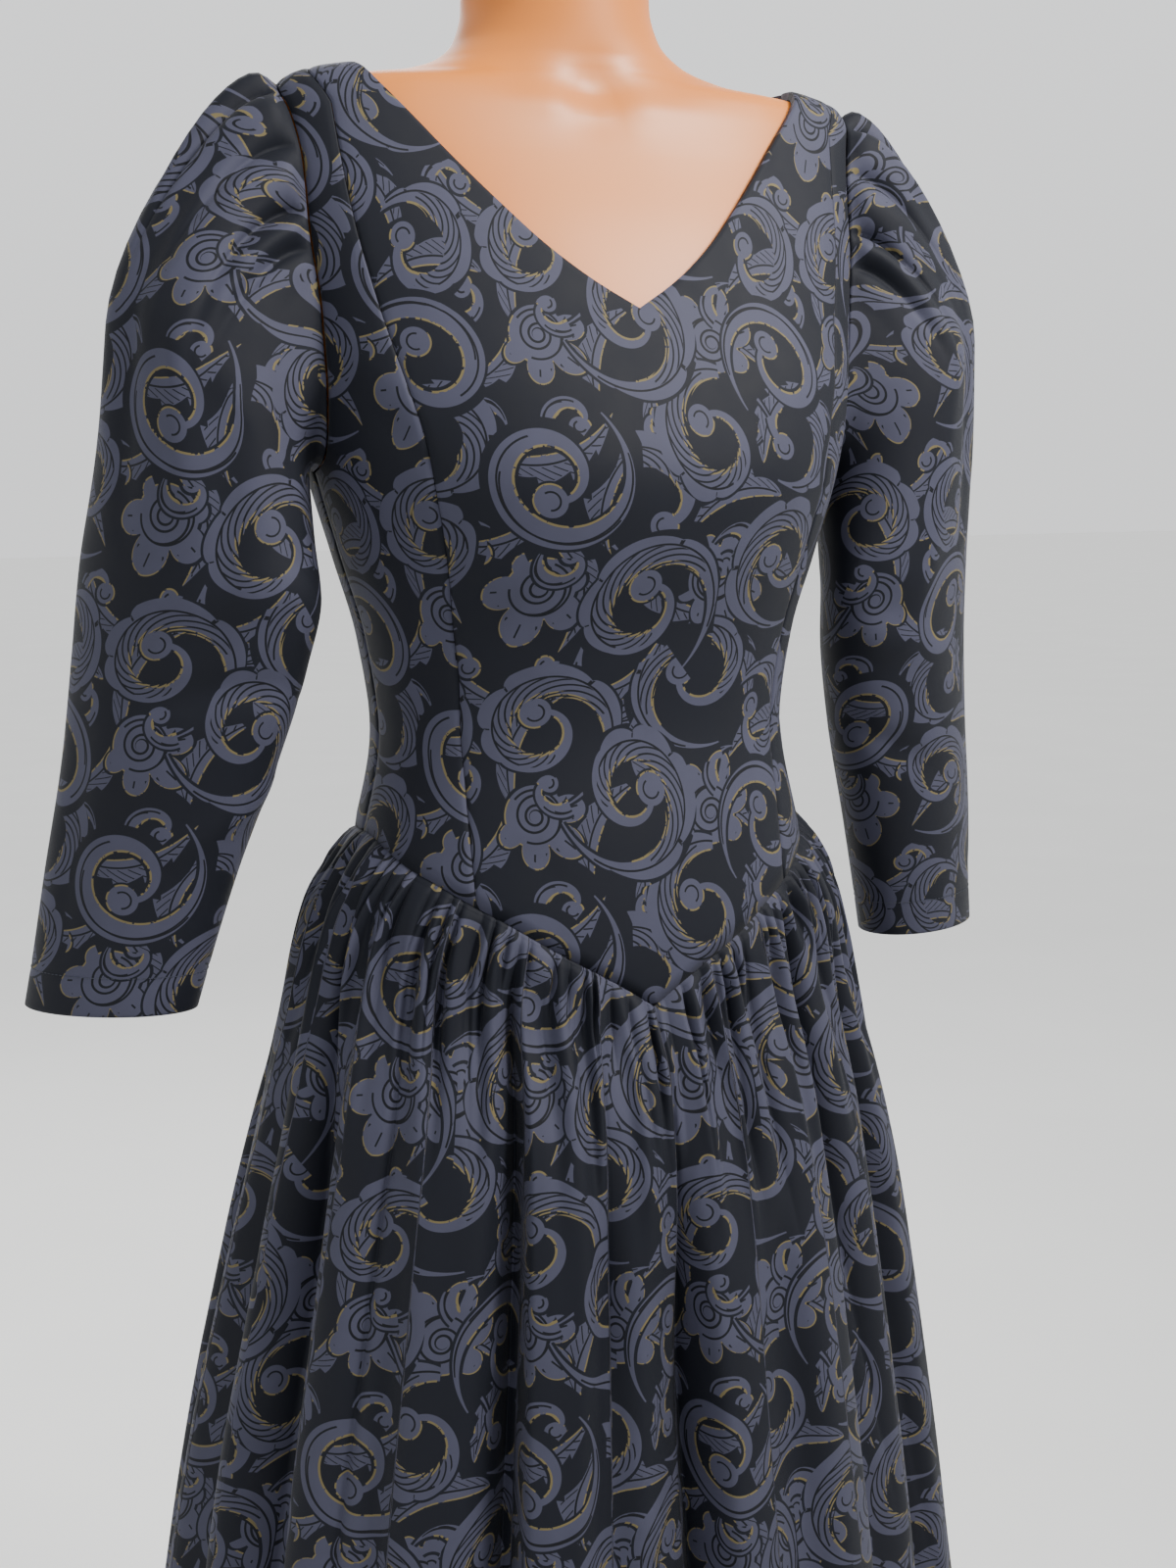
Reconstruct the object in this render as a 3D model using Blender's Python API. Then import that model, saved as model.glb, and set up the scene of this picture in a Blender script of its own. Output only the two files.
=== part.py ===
"""Ball gown on a limbless dress form.

A printed-cotton gown with a wide V neck, shoulder princess seams, long sleeves with gathered heads, a
pointed waist seam and a full gathered skirt to the floor, worn by a torso form on a pole and a round base.

Metres, +Z up, origin on the floor under the pole. The gown faces -Y and its left side is +X.
"Turn" is the angle round the figure in degrees: 0 at the front, 90 at the left side, 180 at the back.
"""
import math
from collections import namedtuple

import bmesh
import bpy
import numpy as np

# ---- Driving sizes -------------------------------------------------------------------------------

CLOTH = 0.0015            # wall of the bodice and sleeves
SKIRT_CLOTH = 0.0018      # wall of the skirt, measured level
EASE = 0.0024             # air between the figure's skin and the bodice
FORM_SLACK = 0.0020       # the form is this much slimmer than the figure the gown is cut for
SEAM_TRIM = 0.0002        # each piece stops this short of a seam line
WAIST_DROP = 0.0009       # the skirt starts this far under the waist seam
HEM_HEIGHT = 0.045        # hem above the floor

SHOULDER_TIP_X = 0.1715   # where the armhole meets the shoulder seam
SHOULDER_SPLIT_X = 0.1560  # where the princess seam meets it
NECK_X = 0.1370           # where the neckline meets it
SHOULDER_BOTTOM = 1.370   # the shoulder seam lies between these heights
SHOULDER_TOP = 1.420
PRINCESS_TURN = 46.0      # where the princess seam meets the waist seam
WAIST_SIDE_HEIGHT = 0.989

SIDE_ROWS = 6             # bands of each bodice piece below the underarm
HOLE_ROWS = 10            # and beside the armhole
BODY_ROWS = SIDE_ROWS + HOLE_ROWS
SHOULDER_CROWDING = 1.55  # draws the bands together where the cloth turns over the shoulder
SIDE_FRONT_COLUMNS = 4
STRAP_COLUMNS = 2         # from the princess seam to the neckline, at the shoulder
FRONT_NECK_COLUMNS = 8
BACK_NECK_COLUMNS = 5
FORM_SIDES = 32
FORM_WORN_FROM = 0.92     # between these heights, where cloth lies on it, the form has twice the rings
FORM_WORN_TO = 1.40

GATHERS = 96              # small gathers let into the waist seam
SEAM_RIPPLE = 0.0013      # how far a small gather stands off at the seam
FULL_RIPPLE = 0.0030      # and a little below it, where it is fullest
PAIR_RIPPLE = 0.0030      # lower down gathers join in pairs that stand off this far
GATHER_ROOM = 0.0020      # the skirt's middle stands this much further off than the bodice's inner face
SETTLE_DROP = 0.040       # below the waist seam, where the skirt leaves the figure
COLUMNS_PER_GATHER = 4
SKIRT_COLUMNS = GATHERS * COLUMNS_PER_GATHER

SLEEVE_PLEATS = 7         # small pleats eased into each sleeve head
PLEAT_DEPTH = 0.0032
PLEAT_SPREAD = 80.0       # how far round from the top of the armhole they reach, in degrees
SLEEVE_TOP_COLUMNS = 22
SLEEVE_UNDER_COLUMNS = 10
UNDERARM_RISE = 0.0006    # the sleeve clears the bodice by this much more under the arm

POLE_RADIUS = 0.014
BASE_RADIUS = 0.200
BASE_EDGE = 0.008         # thickness at the rim
BASE_DISH_RADIUS = 0.120
BASE_DISH_HEIGHT = 0.016
SOCKET_RADIUS = 0.022     # of the socket the pole stands on
SOCKET_FOOT_RADIUS = 0.030
SOCKET_FOOT_HEIGHT = 0.021
BASE_HEIGHT = 0.030
TOUCH_GAP = 0.0003
PROBE = 0.00001           # step for slopes

ZIP_HEIGHT = 1.357        # of the slider, just under the back neck
PLATE_HALF_WIDTH = 0.0030
PLATE_HALF_LENGTH = 0.0045
PLATE_LIFT = 0.0004       # from the cloth to the plate's underside
PLATE_TOP = 0.0018
EAR_INSIDE = 0.0022       # from the middle to an ear's inner face
EAR_HALF_LENGTH = 0.0013
EAR_SINK = 0.0006         # how far the ears start inside the plate
PIN_LIFT = 0.0043         # from the cloth to the pin's centre
PIN_RADIUS = 0.0006
PIN_HALF_LENGTH = 0.0026
PIN_SIDES = 10
EYE_INNER = 0.0010
EYE_OUTER = 0.0020
EYE_SIDES = 12
TAB_TOP = 0.0018          # half width of the eye
TAB_TURNED_IN = 8.0       # degrees by which the tab's end leans on the cloth

# ---- Tables --------------------------------------------------------------------------------------

Ring = namedtuple("Ring", "height half_width front back side squareness")
FORM_RINGS = (
    Ring(0.800, 0.1580, 0.096, 0.106, 0.006, 2.0),
    Ring(0.860, 0.1650, 0.101, 0.118, 0.008, 2.0),
    Ring(0.920, 0.1550, 0.102, 0.112, 0.006, 2.1),
    Ring(0.985, 0.1330, 0.097, 0.097, 0.002, 2.2),
    Ring(1.048, 0.1215, 0.090, 0.089, 0.000, 2.2),
    Ring(1.100, 0.1280, 0.097, 0.093, 0.000, 2.2),
    Ring(1.150, 0.1420, 0.114, 0.098, 0.001, 2.2),
    Ring(1.190, 0.1530, 0.121, 0.102, 0.002, 2.3),
    Ring(1.230, 0.1625, 0.112, 0.105, 0.003, 2.4),
    Ring(1.281, 0.1690, 0.0905, 0.105, 0.004, 2.5),
    Ring(1.330, 0.1735, 0.071, 0.098, 0.003, 2.6),
    Ring(1.370, 0.1745, 0.054, 0.087, 0.000, 2.6),
    Ring(1.394, 0.1745, 0.045, 0.078, -0.003, 2.5),
    Ring(1.405, 0.1690, 0.040, 0.072, -0.005, 2.4),
    Ring(1.411, 0.1540, 0.038, 0.069, -0.004, 2.3),
    Ring(1.415, 0.1320, 0.037, 0.068, -0.001, 2.2),
    Ring(1.420, 0.1020, 0.036, 0.068, 0.006, 2.1),
    Ring(1.429, 0.0770, 0.035, 0.070, 0.013, 2.0),
    Ring(1.442, 0.0630, 0.035, 0.073, 0.018, 2.0),
    Ring(1.460, 0.0575, 0.035, 0.075, 0.020, 2.0),
    Ring(1.530, 0.0560, 0.034, 0.076, 0.021, 2.0),
)

Across = namedtuple("Across", "x height")
WAIST_FRONT = (
    Across(0.000, 0.894), Across(0.020, 0.9075), Across(0.045, 0.9225), Across(0.0605, 0.932),
    Across(0.080, 0.945), Across(0.0994, 0.957), Across(0.112, 0.966), Across(0.124, 0.975),
    Across(0.129, 0.982), Across(0.1320, WAIST_SIDE_HEIGHT),
)
WAIST_BACK = (
    Across(0.000, 0.972), Across(0.060, 0.975), Across(0.110, 0.983), Across(0.1320, WAIST_SIDE_HEIGHT),
)
NECK_FRONT = (
    Across(0.000, 1.281), Across(0.025, 1.2965), Across(0.050, 1.3165), Across(0.070, 1.337),
    Across(0.090, 1.3595), Across(0.110, 1.3835), Across(0.126, 1.402),
)
NECK_BACK = (
    Across(0.000, 1.370), Across(0.045, 1.3725), Across(0.080, 1.380), Across(0.107, 1.392),
    Across(0.126, 1.4045),
)
PRINCESS = (
    Across(0.0950, 1.030), Across(0.0966, 1.076), Across(0.1020, 1.114), Across(0.1110, 1.163),
    Across(0.1165, 1.187), Across(0.1220, 1.216), Across(0.1305, 1.250), Across(0.1385, 1.287),
    Across(0.1455, 1.325), Across(0.1495, 1.362), Across(0.1520, 1.392),
)

Beside = namedtuple("Beside", "y height")
ARMHOLE_FRONT = (
    Beside(-0.016, 1.392), Beside(-0.025, 1.363), Beside(-0.031, 1.327), Beside(-0.037, 1.281),
    Beside(-0.038, 1.247), Beside(-0.031, 1.218), Beside(-0.016, 1.201),
)
ARMHOLE_BACK = (
    Beside(0.010, 1.390), Beside(0.022, 1.358), Beside(0.032, 1.318), Beside(0.040, 1.276),
    Beside(0.040, 1.240), Beside(0.032, 1.214), Beside(0.016, 1.200),
)
UNDERARM_HEIGHT = 1.196

# Level sections of the left sleeve. Slant is the rise across the section from its inner to its outer
# side, over its width; turned is the angle of the wide axis from +X towards the back.
Cut = namedtuple("Cut", "x y height wide narrow turned slant")
SLEEVE_CUTS = (
    Cut(0.2170, -0.001, 1.232, 0.0530, 0.0490, 30.0, 0.85),
    Cut(0.2210, 0.002, 1.180, 0.0610, 0.0460, 36.0, 0.42),
    Cut(0.2245, 0.007, 1.136, 0.0700, 0.0420, 38.0, 0.16),
    Cut(0.2300, 0.017, 1.090, 0.0685, 0.0410, 36.0, 0.06),
    Cut(0.2400, 0.028, 1.036, 0.0630, 0.0400, 34.0, 0.03),
    Cut(0.2565, 0.043, 0.968, 0.0565, 0.0370, 33.0, 0.02),
    Cut(0.2670, 0.052, 0.920, 0.0530, 0.0350, 33.0, 0.02),
    Cut(0.2735, 0.0575, 0.890, 0.0515, 0.0340, 33.0, 0.02),
)
SLEEVE_HEAD_STEPS = (0.0, 0.10, 0.28, 0.50, 0.75)

# Level sections of the skirt. Front and back are its reach from the pole's axis, and middle is how far
# behind that axis it is widest.
Level = namedtuple("Level", "height half_width front back middle")
SKIRT_LEVELS = (
    Level(0.990, 0.1400, 0.1030, 0.1030, 0.000),
    Level(0.981, 0.1450, 0.1040, 0.1100, 0.000),
    Level(0.972, 0.1500, 0.1050, 0.1160, 0.000),
    Level(0.952, 0.1610, 0.1060, 0.1280, 0.001),
    Level(0.921, 0.1720, 0.1080, 0.1420, 0.002),
    Level(0.891, 0.1800, 0.1130, 0.1530, 0.003),
    Level(0.860, 0.1880, 0.1260, 0.1640, 0.007),
    Level(0.830, 0.1955, 0.1360, 0.1740, 0.010),
    Level(0.767, 0.2105, 0.1480, 0.1920, 0.018),
    Level(0.702, 0.2240, 0.1560, 0.2100, 0.027),
    Level(0.636, 0.2375, 0.1620, 0.2270, 0.035),
    Level(0.570, 0.2495, 0.1680, 0.2420, 0.040),
    Level(0.504, 0.2600, 0.1730, 0.2560, 0.044),
    Level(0.300, 0.2920, 0.1920, 0.2940, 0.050),
    Level(0.040, 0.3300, 0.2180, 0.3380, 0.056),
)
# Rows of the skirt: how far each lies below the waist seam, as a share of the way to the hem, and how
# many columns it has for each one of the hem's.
Row = namedtuple("Row", "share columns")
SKIRT_ROWS = (
    Row(0.000, 4), Row(0.016, 4), Row(0.045, 4), Row(0.085, 2), Row(0.160, 2), Row(0.280, 2),
    Row(0.460, 1), Row(0.700, 1), Row(1.000, 1),
)
# Troughs of the skirt. Drift is how far round each moves on its way to the hem, and start the drop below
# the waist seam where it begins.
Fold = namedtuple("Fold", "turn drift depth half_width start")
FOLDS = (
    Fold(-171.0, -1.0, 0.034, 7.5, 0.03),
    Fold(-149.0, 1.5, 0.026, 6.0, 0.06),
    Fold(-129.0, -1.0, 0.036, 7.5, 0.02),
    Fold(-107.0, 2.0, 0.028, 7.0, 0.05),
    Fold(-85.0, 3.0, 0.020, 6.0, 0.08),
    Fold(-69.0, 7.0, 0.034, 7.0, 0.04),
    Fold(-47.0, 2.0, 0.010, 5.0, 0.10),
    Fold(-27.5, 2.0, 0.030, 4.5, 0.01),
    Fold(-13.0, -1.0, 0.012, 5.0, 0.03),
    Fold(-0.5, 4.5, 0.036, 6.0, 0.05),
    Fold(17.0, 2.0, 0.010, 5.5, 0.09),
    Fold(33.0, 3.0, 0.018, 6.0, 0.01),
    Fold(52.0, -2.0, 0.026, 6.5, 0.03),
    Fold(73.0, 1.0, 0.030, 7.0, 0.05),
    Fold(95.0, -1.5, 0.022, 6.5, 0.07),
    Fold(115.0, 1.0, 0.034, 7.5, 0.03),
    Fold(138.0, -2.0, 0.028, 6.5, 0.05),
    Fold(158.0, 1.0, 0.032, 7.0, 0.02),
)

TabRow = namedtuple("TabRow", "down half_width")
TAB_ROWS = (
    TabRow(0.0050, 0.0020), TabRow(0.0120, 0.0028), TabRow(0.0180, 0.0031), TabRow(0.0205, 0.0026),
    TabRow(0.0217, 0.0014),
)


# ---- Curves --------------------------------------------------------------------------------------

def smooth_curve(places, values):
    """A smooth function through the given values that never overshoots them."""
    places = np.array(places, float)
    values = np.array(values, float)
    steps = np.diff(places)
    slopes = np.diff(values) / steps
    before = 2 * steps[1:] + steps[:-1]
    after = steps[1:] + 2 * steps[:-1]
    same_way = slopes[1:] * slopes[:-1] > 0
    safe_left = np.where(same_way, slopes[:-1], 1.0)
    safe_right = np.where(same_way, slopes[1:], 1.0)
    tangents = np.zeros_like(values)
    mean_slope = (before + after) / (before / safe_left + after / safe_right)
    tangents[1:-1] = np.where(same_way, mean_slope, 0.0)
    tangents[0] = slopes[0]
    tangents[-1] = slopes[-1]

    def value_at(place):
        place = np.clip(place, places[0], places[-1])
        index = np.clip(np.searchsorted(places, place, side="right") - 1, 0, len(steps) - 1)
        t = (place - places[index]) / steps[index]
        rise = steps[index] * (t * (1 - t) ** 2 * tangents[index] + t * t * (t - 1) * tangents[index + 1])
        ease = t * t * (3 - 2 * t)
        return values[index] * (1 - ease) + values[index + 1] * ease + rise

    return value_at


def table_curve(rows, across, along):
    """The column `across` of a table as a smooth function of its column `along`."""
    ordered = sorted(rows, key=lambda row: getattr(row, along))
    places = [getattr(row, along) for row in ordered]
    return smooth_curve(places, [getattr(row, across) for row in ordered])


def spread(points, count, crowding=1.0):
    """`count` + 1 points along a polyline. Crowding above 1 draws them towards its end."""
    points = np.asarray(points, float)
    lengths = np.concatenate([[0.0], np.cumsum(np.linalg.norm(np.diff(points, axis=0), axis=1))])
    wanted = lengths[-1] * (1.0 - np.linspace(1.0, 0.0, count + 1) ** crowding)
    return np.stack([np.interp(wanted, lengths, points[:, axis]) for axis in range(3)], axis=1)


def chain(*curves):
    """Curves end to end, each starting where the one before it stops."""
    return np.concatenate([curves[0]] + [curve[1:] for curve in curves[1:]])


def ease_in(x):
    x = np.clip(x, 0.0, 1.0)
    return x * x * (3 - 2 * x)


# ---- The figure ----------------------------------------------------------------------------------

half_width_at = table_curve(FORM_RINGS, "half_width", "height")
front_at = table_curve(FORM_RINGS, "front", "height")
back_at = table_curve(FORM_RINGS, "back", "height")
side_at = table_curve(FORM_RINGS, "side", "height")
squareness_at = table_curve(FORM_RINGS, "squareness", "height")


def figure_value(points):
    """Zero on the form's skin, negative inside it."""
    x, y, z = points[..., 0], points[..., 1], points[..., 2]
    side = side_at(z)
    depth = np.where(y < side, front_at(z) + side, back_at(z) - side)
    power = squareness_at(z)
    return ((np.abs(x) / half_width_at(z)) ** power + (np.abs(y - side) / depth) ** power) ** (1 / power) - 1


def figure_gradient(points):
    steps = PROBE * np.eye(3)
    return np.stack(
        [(figure_value(points + step) - figure_value(points - step)) / (2 * PROBE) for step in steps], axis=-1)


def off_figure(points, distance):
    """The points drawn on to the form's skin and then moved out square to it."""
    points = np.array(points, float)
    for _ in range(12):
        gradient = figure_gradient(points)
        size = np.linalg.norm(gradient, axis=-1, keepdims=True)
        step = np.clip(figure_value(points)[..., None] / size, -0.01, 0.01)
        points -= step * gradient / size
    gradient = figure_gradient(points)
    return points + distance * gradient / np.linalg.norm(gradient, axis=-1, keepdims=True)


def level_point(x, height, facing):
    """A point of the skin at a given x and height, at the front (facing -1) or the back (+1)."""
    power = squareness_at(height)
    side = side_at(height)
    depth = front_at(height) + side if facing < 0 else back_at(height) - side
    reach = np.clip(np.abs(x) / half_width_at(height), 0.0, 1.0)
    return np.array([x, side + facing * depth * (1 - reach ** power) ** (1 / power), height])


def beside_point(y, height):
    """A point of the skin at the left side, at a given y and height."""
    power = squareness_at(height)
    side = side_at(height)
    depth = front_at(height) + side if y < side else back_at(height) - side
    reach = min(abs(y - side) / depth, 1.0)
    return np.array([half_width_at(height) * (1 - reach ** power) ** (1 / power), y, height])


def shoulder_point(x):
    """The point of the shoulder seam at a given x."""
    low, high = SHOULDER_BOTTOM, SHOULDER_TOP
    for _ in range(40):
        middle = (low + high) / 2
        if half_width_at(middle) > x:
            low = middle
        else:
            high = middle
    return np.array([x, float(side_at(low)), low])


waist_front_at = table_curve(WAIST_FRONT, "height", "x")
waist_back_at = table_curve(WAIST_BACK, "height", "x")


def waist_point(turn):
    """A point of the waist seam."""
    angle = math.radians(turn)
    x = float(half_width_at(WAIST_SIDE_HEIGHT)) * math.sin(angle)
    if math.cos(angle) >= 0:
        return level_point(x, float(waist_front_at(abs(x))), -1)
    return level_point(x, float(waist_back_at(abs(x))), 1)


def waist_line(start, end, count):
    return np.array([waist_point(turn) for turn in np.linspace(start, end, count + 1)])


# ---- Meshes --------------------------------------------------------------------------------------

def make_material(name, colour, roughness, metallic=0.0):
    material = bpy.data.materials.new(name)
    material.use_nodes = True
    shader = material.node_tree.nodes["Principled BSDF"]
    shader.inputs["Base Color"].default_value = (*colour, 1.0)
    shader.inputs["Roughness"].default_value = roughness
    shader.inputs["Metallic"].default_value = metallic
    return material


def add_object(name, mesh, material):
    mesh.materials.append(material)
    thing = bpy.data.objects.new(name, mesh)
    bpy.context.collection.objects.link(thing)
    return thing


def mesh_object(name, verts, faces, material, smooth=True):
    mesh = bpy.data.meshes.new(name)
    mesh.from_pydata([tuple(vert) for vert in verts], [], faces)
    mesh.validate()
    if smooth:
        mesh.shade_smooth()
        mesh.set_sharp_from_angle(angle=math.radians(60))
    return add_object(name, mesh, material)


def wall_object(name, outer_rows, inner_rows, material, closed=False):
    """A wall between two sets of rows. A row may have half as many columns as the one above it.

    Rows run from top to bottom and points run leftwards round the figure, seen from above.
    """
    counts = [len(row) for row in outer_rows]
    starts = np.concatenate([[0], np.cumsum(counts)]).astype(int)
    total = int(starts[-1])
    verts = np.concatenate(list(outer_rows) + list(inner_rows))
    faces = []

    def both_sides(face):
        faces.append(face)
        faces.append(tuple(total + index for index in reversed(face)))

    def rim(first, second):
        faces.append((first, second, second + total, first + total))

    for upper in range(len(counts) - 1):
        lower = upper + 1
        wrap = counts[lower] if closed else 0
        spans = counts[lower] if closed else counts[lower] - 1
        halved = counts[upper] - (0 if closed else 1) == 2 * spans
        for j in range(spans):
            next_low = starts[lower] + ((j + 1) % wrap if wrap else j + 1)
            low = starts[lower] + j
            if halved:
                a = starts[upper] + 2 * j
                middle = a + 1
                b = starts[upper] + ((2 * j + 2) % counts[upper] if closed else 2 * j + 2)
                both_sides((a, low, middle))
                both_sides((middle, low, next_low))
                both_sides((middle, next_low, b))
            else:
                a = starts[upper] + j
                b = starts[upper] + ((j + 1) % wrap if wrap else j + 1)
                if np.linalg.norm(verts[a] - verts[next_low]) < np.linalg.norm(verts[low] - verts[b]):
                    both_sides((a, low, next_low))
                    both_sides((a, next_low, b))
                else:
                    both_sides((a, low, b))
                    both_sides((low, next_low, b))
    for row, backwards in ((0, True), (len(counts) - 1, False)):
        spans = counts[row] if closed else counts[row] - 1
        for j in range(spans):
            first = int(starts[row] + j)
            second = int(starts[row] + (j + 1) % counts[row]) if closed else first + 1
            if backwards:
                first, second = second, first
            rim(second, first)
    if not closed:
        for upper in range(len(counts) - 1):
            rim(int(starts[upper + 1]), int(starts[upper]))
            rim(int(starts[upper + 1] - 1), int(starts[upper + 2] - 1))
    return mesh_object(name, verts, [tuple(int(i) for i in face) for face in faces], material)


# ---- Bodice --------------------------------------------------------------------------------------

def patch(bottom, top, right, left, crowding=1.0):
    """A grid of points between four edges that share their corners. Rows run bottom to top."""
    u = np.linspace(0.0, 1.0, len(bottom))[None, :, None]
    v = (1.0 - np.linspace(1.0, 0.0, len(right)) ** crowding)[:, None, None]
    ruled_up = (1 - v) * bottom[None] + v * top[None]
    ruled_across = (1 - u) * right[:, None] + u * left[:, None]
    corners = ((1 - v) * (1 - u) * bottom[0] + (1 - v) * u * bottom[-1]
               + v * (1 - u) * top[0] + v * u * top[-1])
    return off_figure(ruled_up + ruled_across - corners, 0.0)


def trimmed(grid):
    """The grid with its four edges drawn in from the seam lines."""
    grid = grid.copy()
    for edge, neighbour in ((0, 1), (-1, -2)):
        step = grid[neighbour] - grid[edge]
        grid[edge] += SEAM_TRIM * step / np.linalg.norm(step, axis=-1, keepdims=True)
    for edge, neighbour in ((0, 1), (-1, -2)):
        step = grid[:, neighbour] - grid[:, edge]
        grid[:, edge] += SEAM_TRIM * step / np.linalg.norm(step, axis=-1, keepdims=True)
    return grid


def mirrored(grid):
    """The same piece for the other side."""
    return grid[:, ::-1] * np.array([-1.0, 1.0, 1.0])


def bodice_piece(name, grid, material):
    grid = trimmed(grid)[::-1]
    return wall_object(name, off_figure(grid, EASE + CLOTH), off_figure(grid, EASE), material)


def shoulder_seam(from_x, to_x, count):
    return np.array([shoulder_point(x) for x in np.linspace(from_x, to_x, count + 1)])


def princess_seam():
    """From the waist seam up to the shoulder seam, on the left side."""
    x_at = table_curve(PRINCESS, "x", "height")
    heights = np.linspace(PRINCESS[0].height, PRINCESS[-1].height, 40)
    points = [waist_point(PRINCESS_TURN)]
    points += [level_point(float(x_at(height)), float(height), -1) for height in heights]
    points.append(shoulder_point(SHOULDER_SPLIT_X))
    return spread(points, BODY_ROWS, SHOULDER_CROWDING)


def armhole(rows):
    """Half the left armhole, from the shoulder tip down to the underarm."""
    low = beside_point(float(side_at(UNDERARM_HEIGHT)), UNDERARM_HEIGHT)
    points = [shoulder_point(SHOULDER_TIP_X)]
    points += [beside_point(row.y, row.height) for row in rows]
    points.append(low)
    return np.array(points)


def hole_edge(rows):
    """Half the armhole as the bodice has it, from the underarm up to the shoulder tip."""
    return spread(armhole(rows)[::-1], HOLE_ROWS, SHOULDER_CROWDING)


def side_edge(rows):
    """Up the left side seam and on round half the armhole to the shoulder tip."""
    heights = np.linspace(waist_point(90.0)[2], UNDERARM_HEIGHT, 30)
    seam = spread([beside_point(float(side_at(h)), float(h)) for h in heights], SIDE_ROWS)
    return chain(seam, hole_edge(rows))


def neck_edge(rows, facing, count):
    """From the centre out to the shoulder seam on the left side."""
    height_at = table_curve(rows, "height", "x")
    across = np.linspace(0.0, rows[-1].x, 24)
    points = [level_point(float(x), float(height_at(x)), facing) for x in across]
    points.append(shoulder_point(NECK_X))
    return spread(points, count, SHOULDER_CROWDING)


def centre_front_grid():
    count = 2 * (STRAP_COLUMNS + FRONT_NECK_COLUMNS)
    left_top = chain(
        neck_edge(NECK_FRONT, -1, FRONT_NECK_COLUMNS),
        shoulder_seam(NECK_X, SHOULDER_SPLIT_X, STRAP_COLUMNS),
    )
    right_top = left_top[::-1] * np.array([-1.0, 1.0, 1.0])
    seam = princess_seam()
    bottom = waist_line(-PRINCESS_TURN, PRINCESS_TURN, count)
    right_seam = seam * np.array([-1.0, 1.0, 1.0])
    return patch(bottom, chain(right_top, left_top), right_seam, seam, SHOULDER_CROWDING)


def side_front_grid():
    bottom = waist_line(PRINCESS_TURN, 90.0, SIDE_FRONT_COLUMNS)
    top = shoulder_seam(SHOULDER_SPLIT_X, SHOULDER_TIP_X, SIDE_FRONT_COLUMNS)
    return patch(bottom, top, princess_seam(), side_edge(ARMHOLE_FRONT))


def centre_back_seam():
    heights = np.linspace(waist_point(180.0)[2], NECK_BACK[0].height, 40)
    return spread([level_point(0.0, float(height), 1) for height in heights], BODY_ROWS, SHOULDER_CROWDING)


def back_grid():
    """The left back, from the side seam round to the centre back."""
    top = chain(
        shoulder_seam(SHOULDER_TIP_X, SHOULDER_SPLIT_X, SIDE_FRONT_COLUMNS),
        shoulder_seam(SHOULDER_SPLIT_X, NECK_X, STRAP_COLUMNS),
        neck_edge(NECK_BACK, 1, BACK_NECK_COLUMNS)[::-1],
    )
    bottom = waist_line(90.0, 180.0, SIDE_FRONT_COLUMNS + STRAP_COLUMNS + BACK_NECK_COLUMNS)
    return patch(bottom, top, side_edge(ARMHOLE_BACK), centre_back_seam())


def build_bodice(cloth):
    bodice_piece("bodice_centre_front", centre_front_grid(), cloth)
    side_front = side_front_grid()
    bodice_piece("bodice_side_front_left", side_front, cloth)
    bodice_piece("bodice_side_front_right", mirrored(side_front), cloth)
    back = back_grid()
    bodice_piece("bodice_back_left", back, cloth)
    bodice_piece("bodice_back_right", mirrored(back), cloth)


# ---- Sleeves -------------------------------------------------------------------------------------

def sleeve_angles():
    """Angles round the sleeve: 0 over the top, 90 at the front, 180 under the arm."""
    top = np.linspace(-90.0, 90.0, SLEEVE_TOP_COLUMNS + 1)
    under = np.linspace(90.0, 270.0, SLEEVE_UNDER_COLUMNS + 1)
    return np.concatenate([top, under[1:-1]])


def armhole_loop(angles):
    """Points of the left armhole, level with the bodice's outer face."""
    front = spread(off_figure(hole_edge(ARMHOLE_FRONT), EASE + CLOTH)[::-1], 180)
    back = spread(off_figure(hole_edge(ARMHOLE_BACK), EASE + CLOTH)[::-1], 180)
    loop = []
    for angle in angles:
        wrapped = (angle + 180.0) % 360.0 - 180.0
        half = front if wrapped >= 0 else back
        loop.append(half[int(round(abs(wrapped)))])
    return np.array(loop)


def sleeve_cut(cut, angles):
    """One section of the left sleeve."""
    turned = math.radians(cut.turned)
    around = np.radians(angles) + turned
    along_wide = cut.wide * np.cos(around)
    along_narrow = -cut.narrow * np.sin(around)
    x = along_wide * math.cos(turned) - along_narrow * math.sin(turned)
    y = along_wide * math.sin(turned) + along_narrow * math.cos(turned)
    return np.stack([cut.x + x, cut.y + y, cut.height + cut.slant * x], axis=-1)


def sleeve_rows(angles):
    """Rows of points from the armhole to the cuff, before the pleats."""
    edge = armhole_loop(angles)
    edge[:, 0] += 2 * SEAM_TRIM
    under = 0.5 - 0.5 * np.cos(np.radians(angles))
    edge[:, 2] += UNDERARM_RISE * under
    cuts = [sleeve_cut(cut, angles) for cut in SLEEVE_CUTS]
    start_pull = np.stack([0.079 - 0.061 * under, 0 * under, 0.046 - 0.038 * under], axis=-1)
    end_pull = (cuts[1] - cuts[0]) * (1.9 - 1.2 * under)[:, None]
    rows = []
    for t in SLEEVE_HEAD_STEPS:
        rows.append((2 * t ** 3 - 3 * t ** 2 + 1) * edge + (t ** 3 - 2 * t ** 2 + t) * start_pull
                    + (3 * t ** 2 - 2 * t ** 3) * cuts[0] + (t ** 3 - t ** 2) * end_pull)
    return rows + cuts


def row_normals(rows):
    """Outward directions over a closed tube of rows."""
    grid = np.array(rows)
    down = np.gradient(grid, axis=0)
    around = np.roll(grid, -1, axis=1) - np.roll(grid, 1, axis=1)
    normals = np.cross(around, down)
    return normals / np.linalg.norm(normals, axis=-1, keepdims=True)


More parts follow.
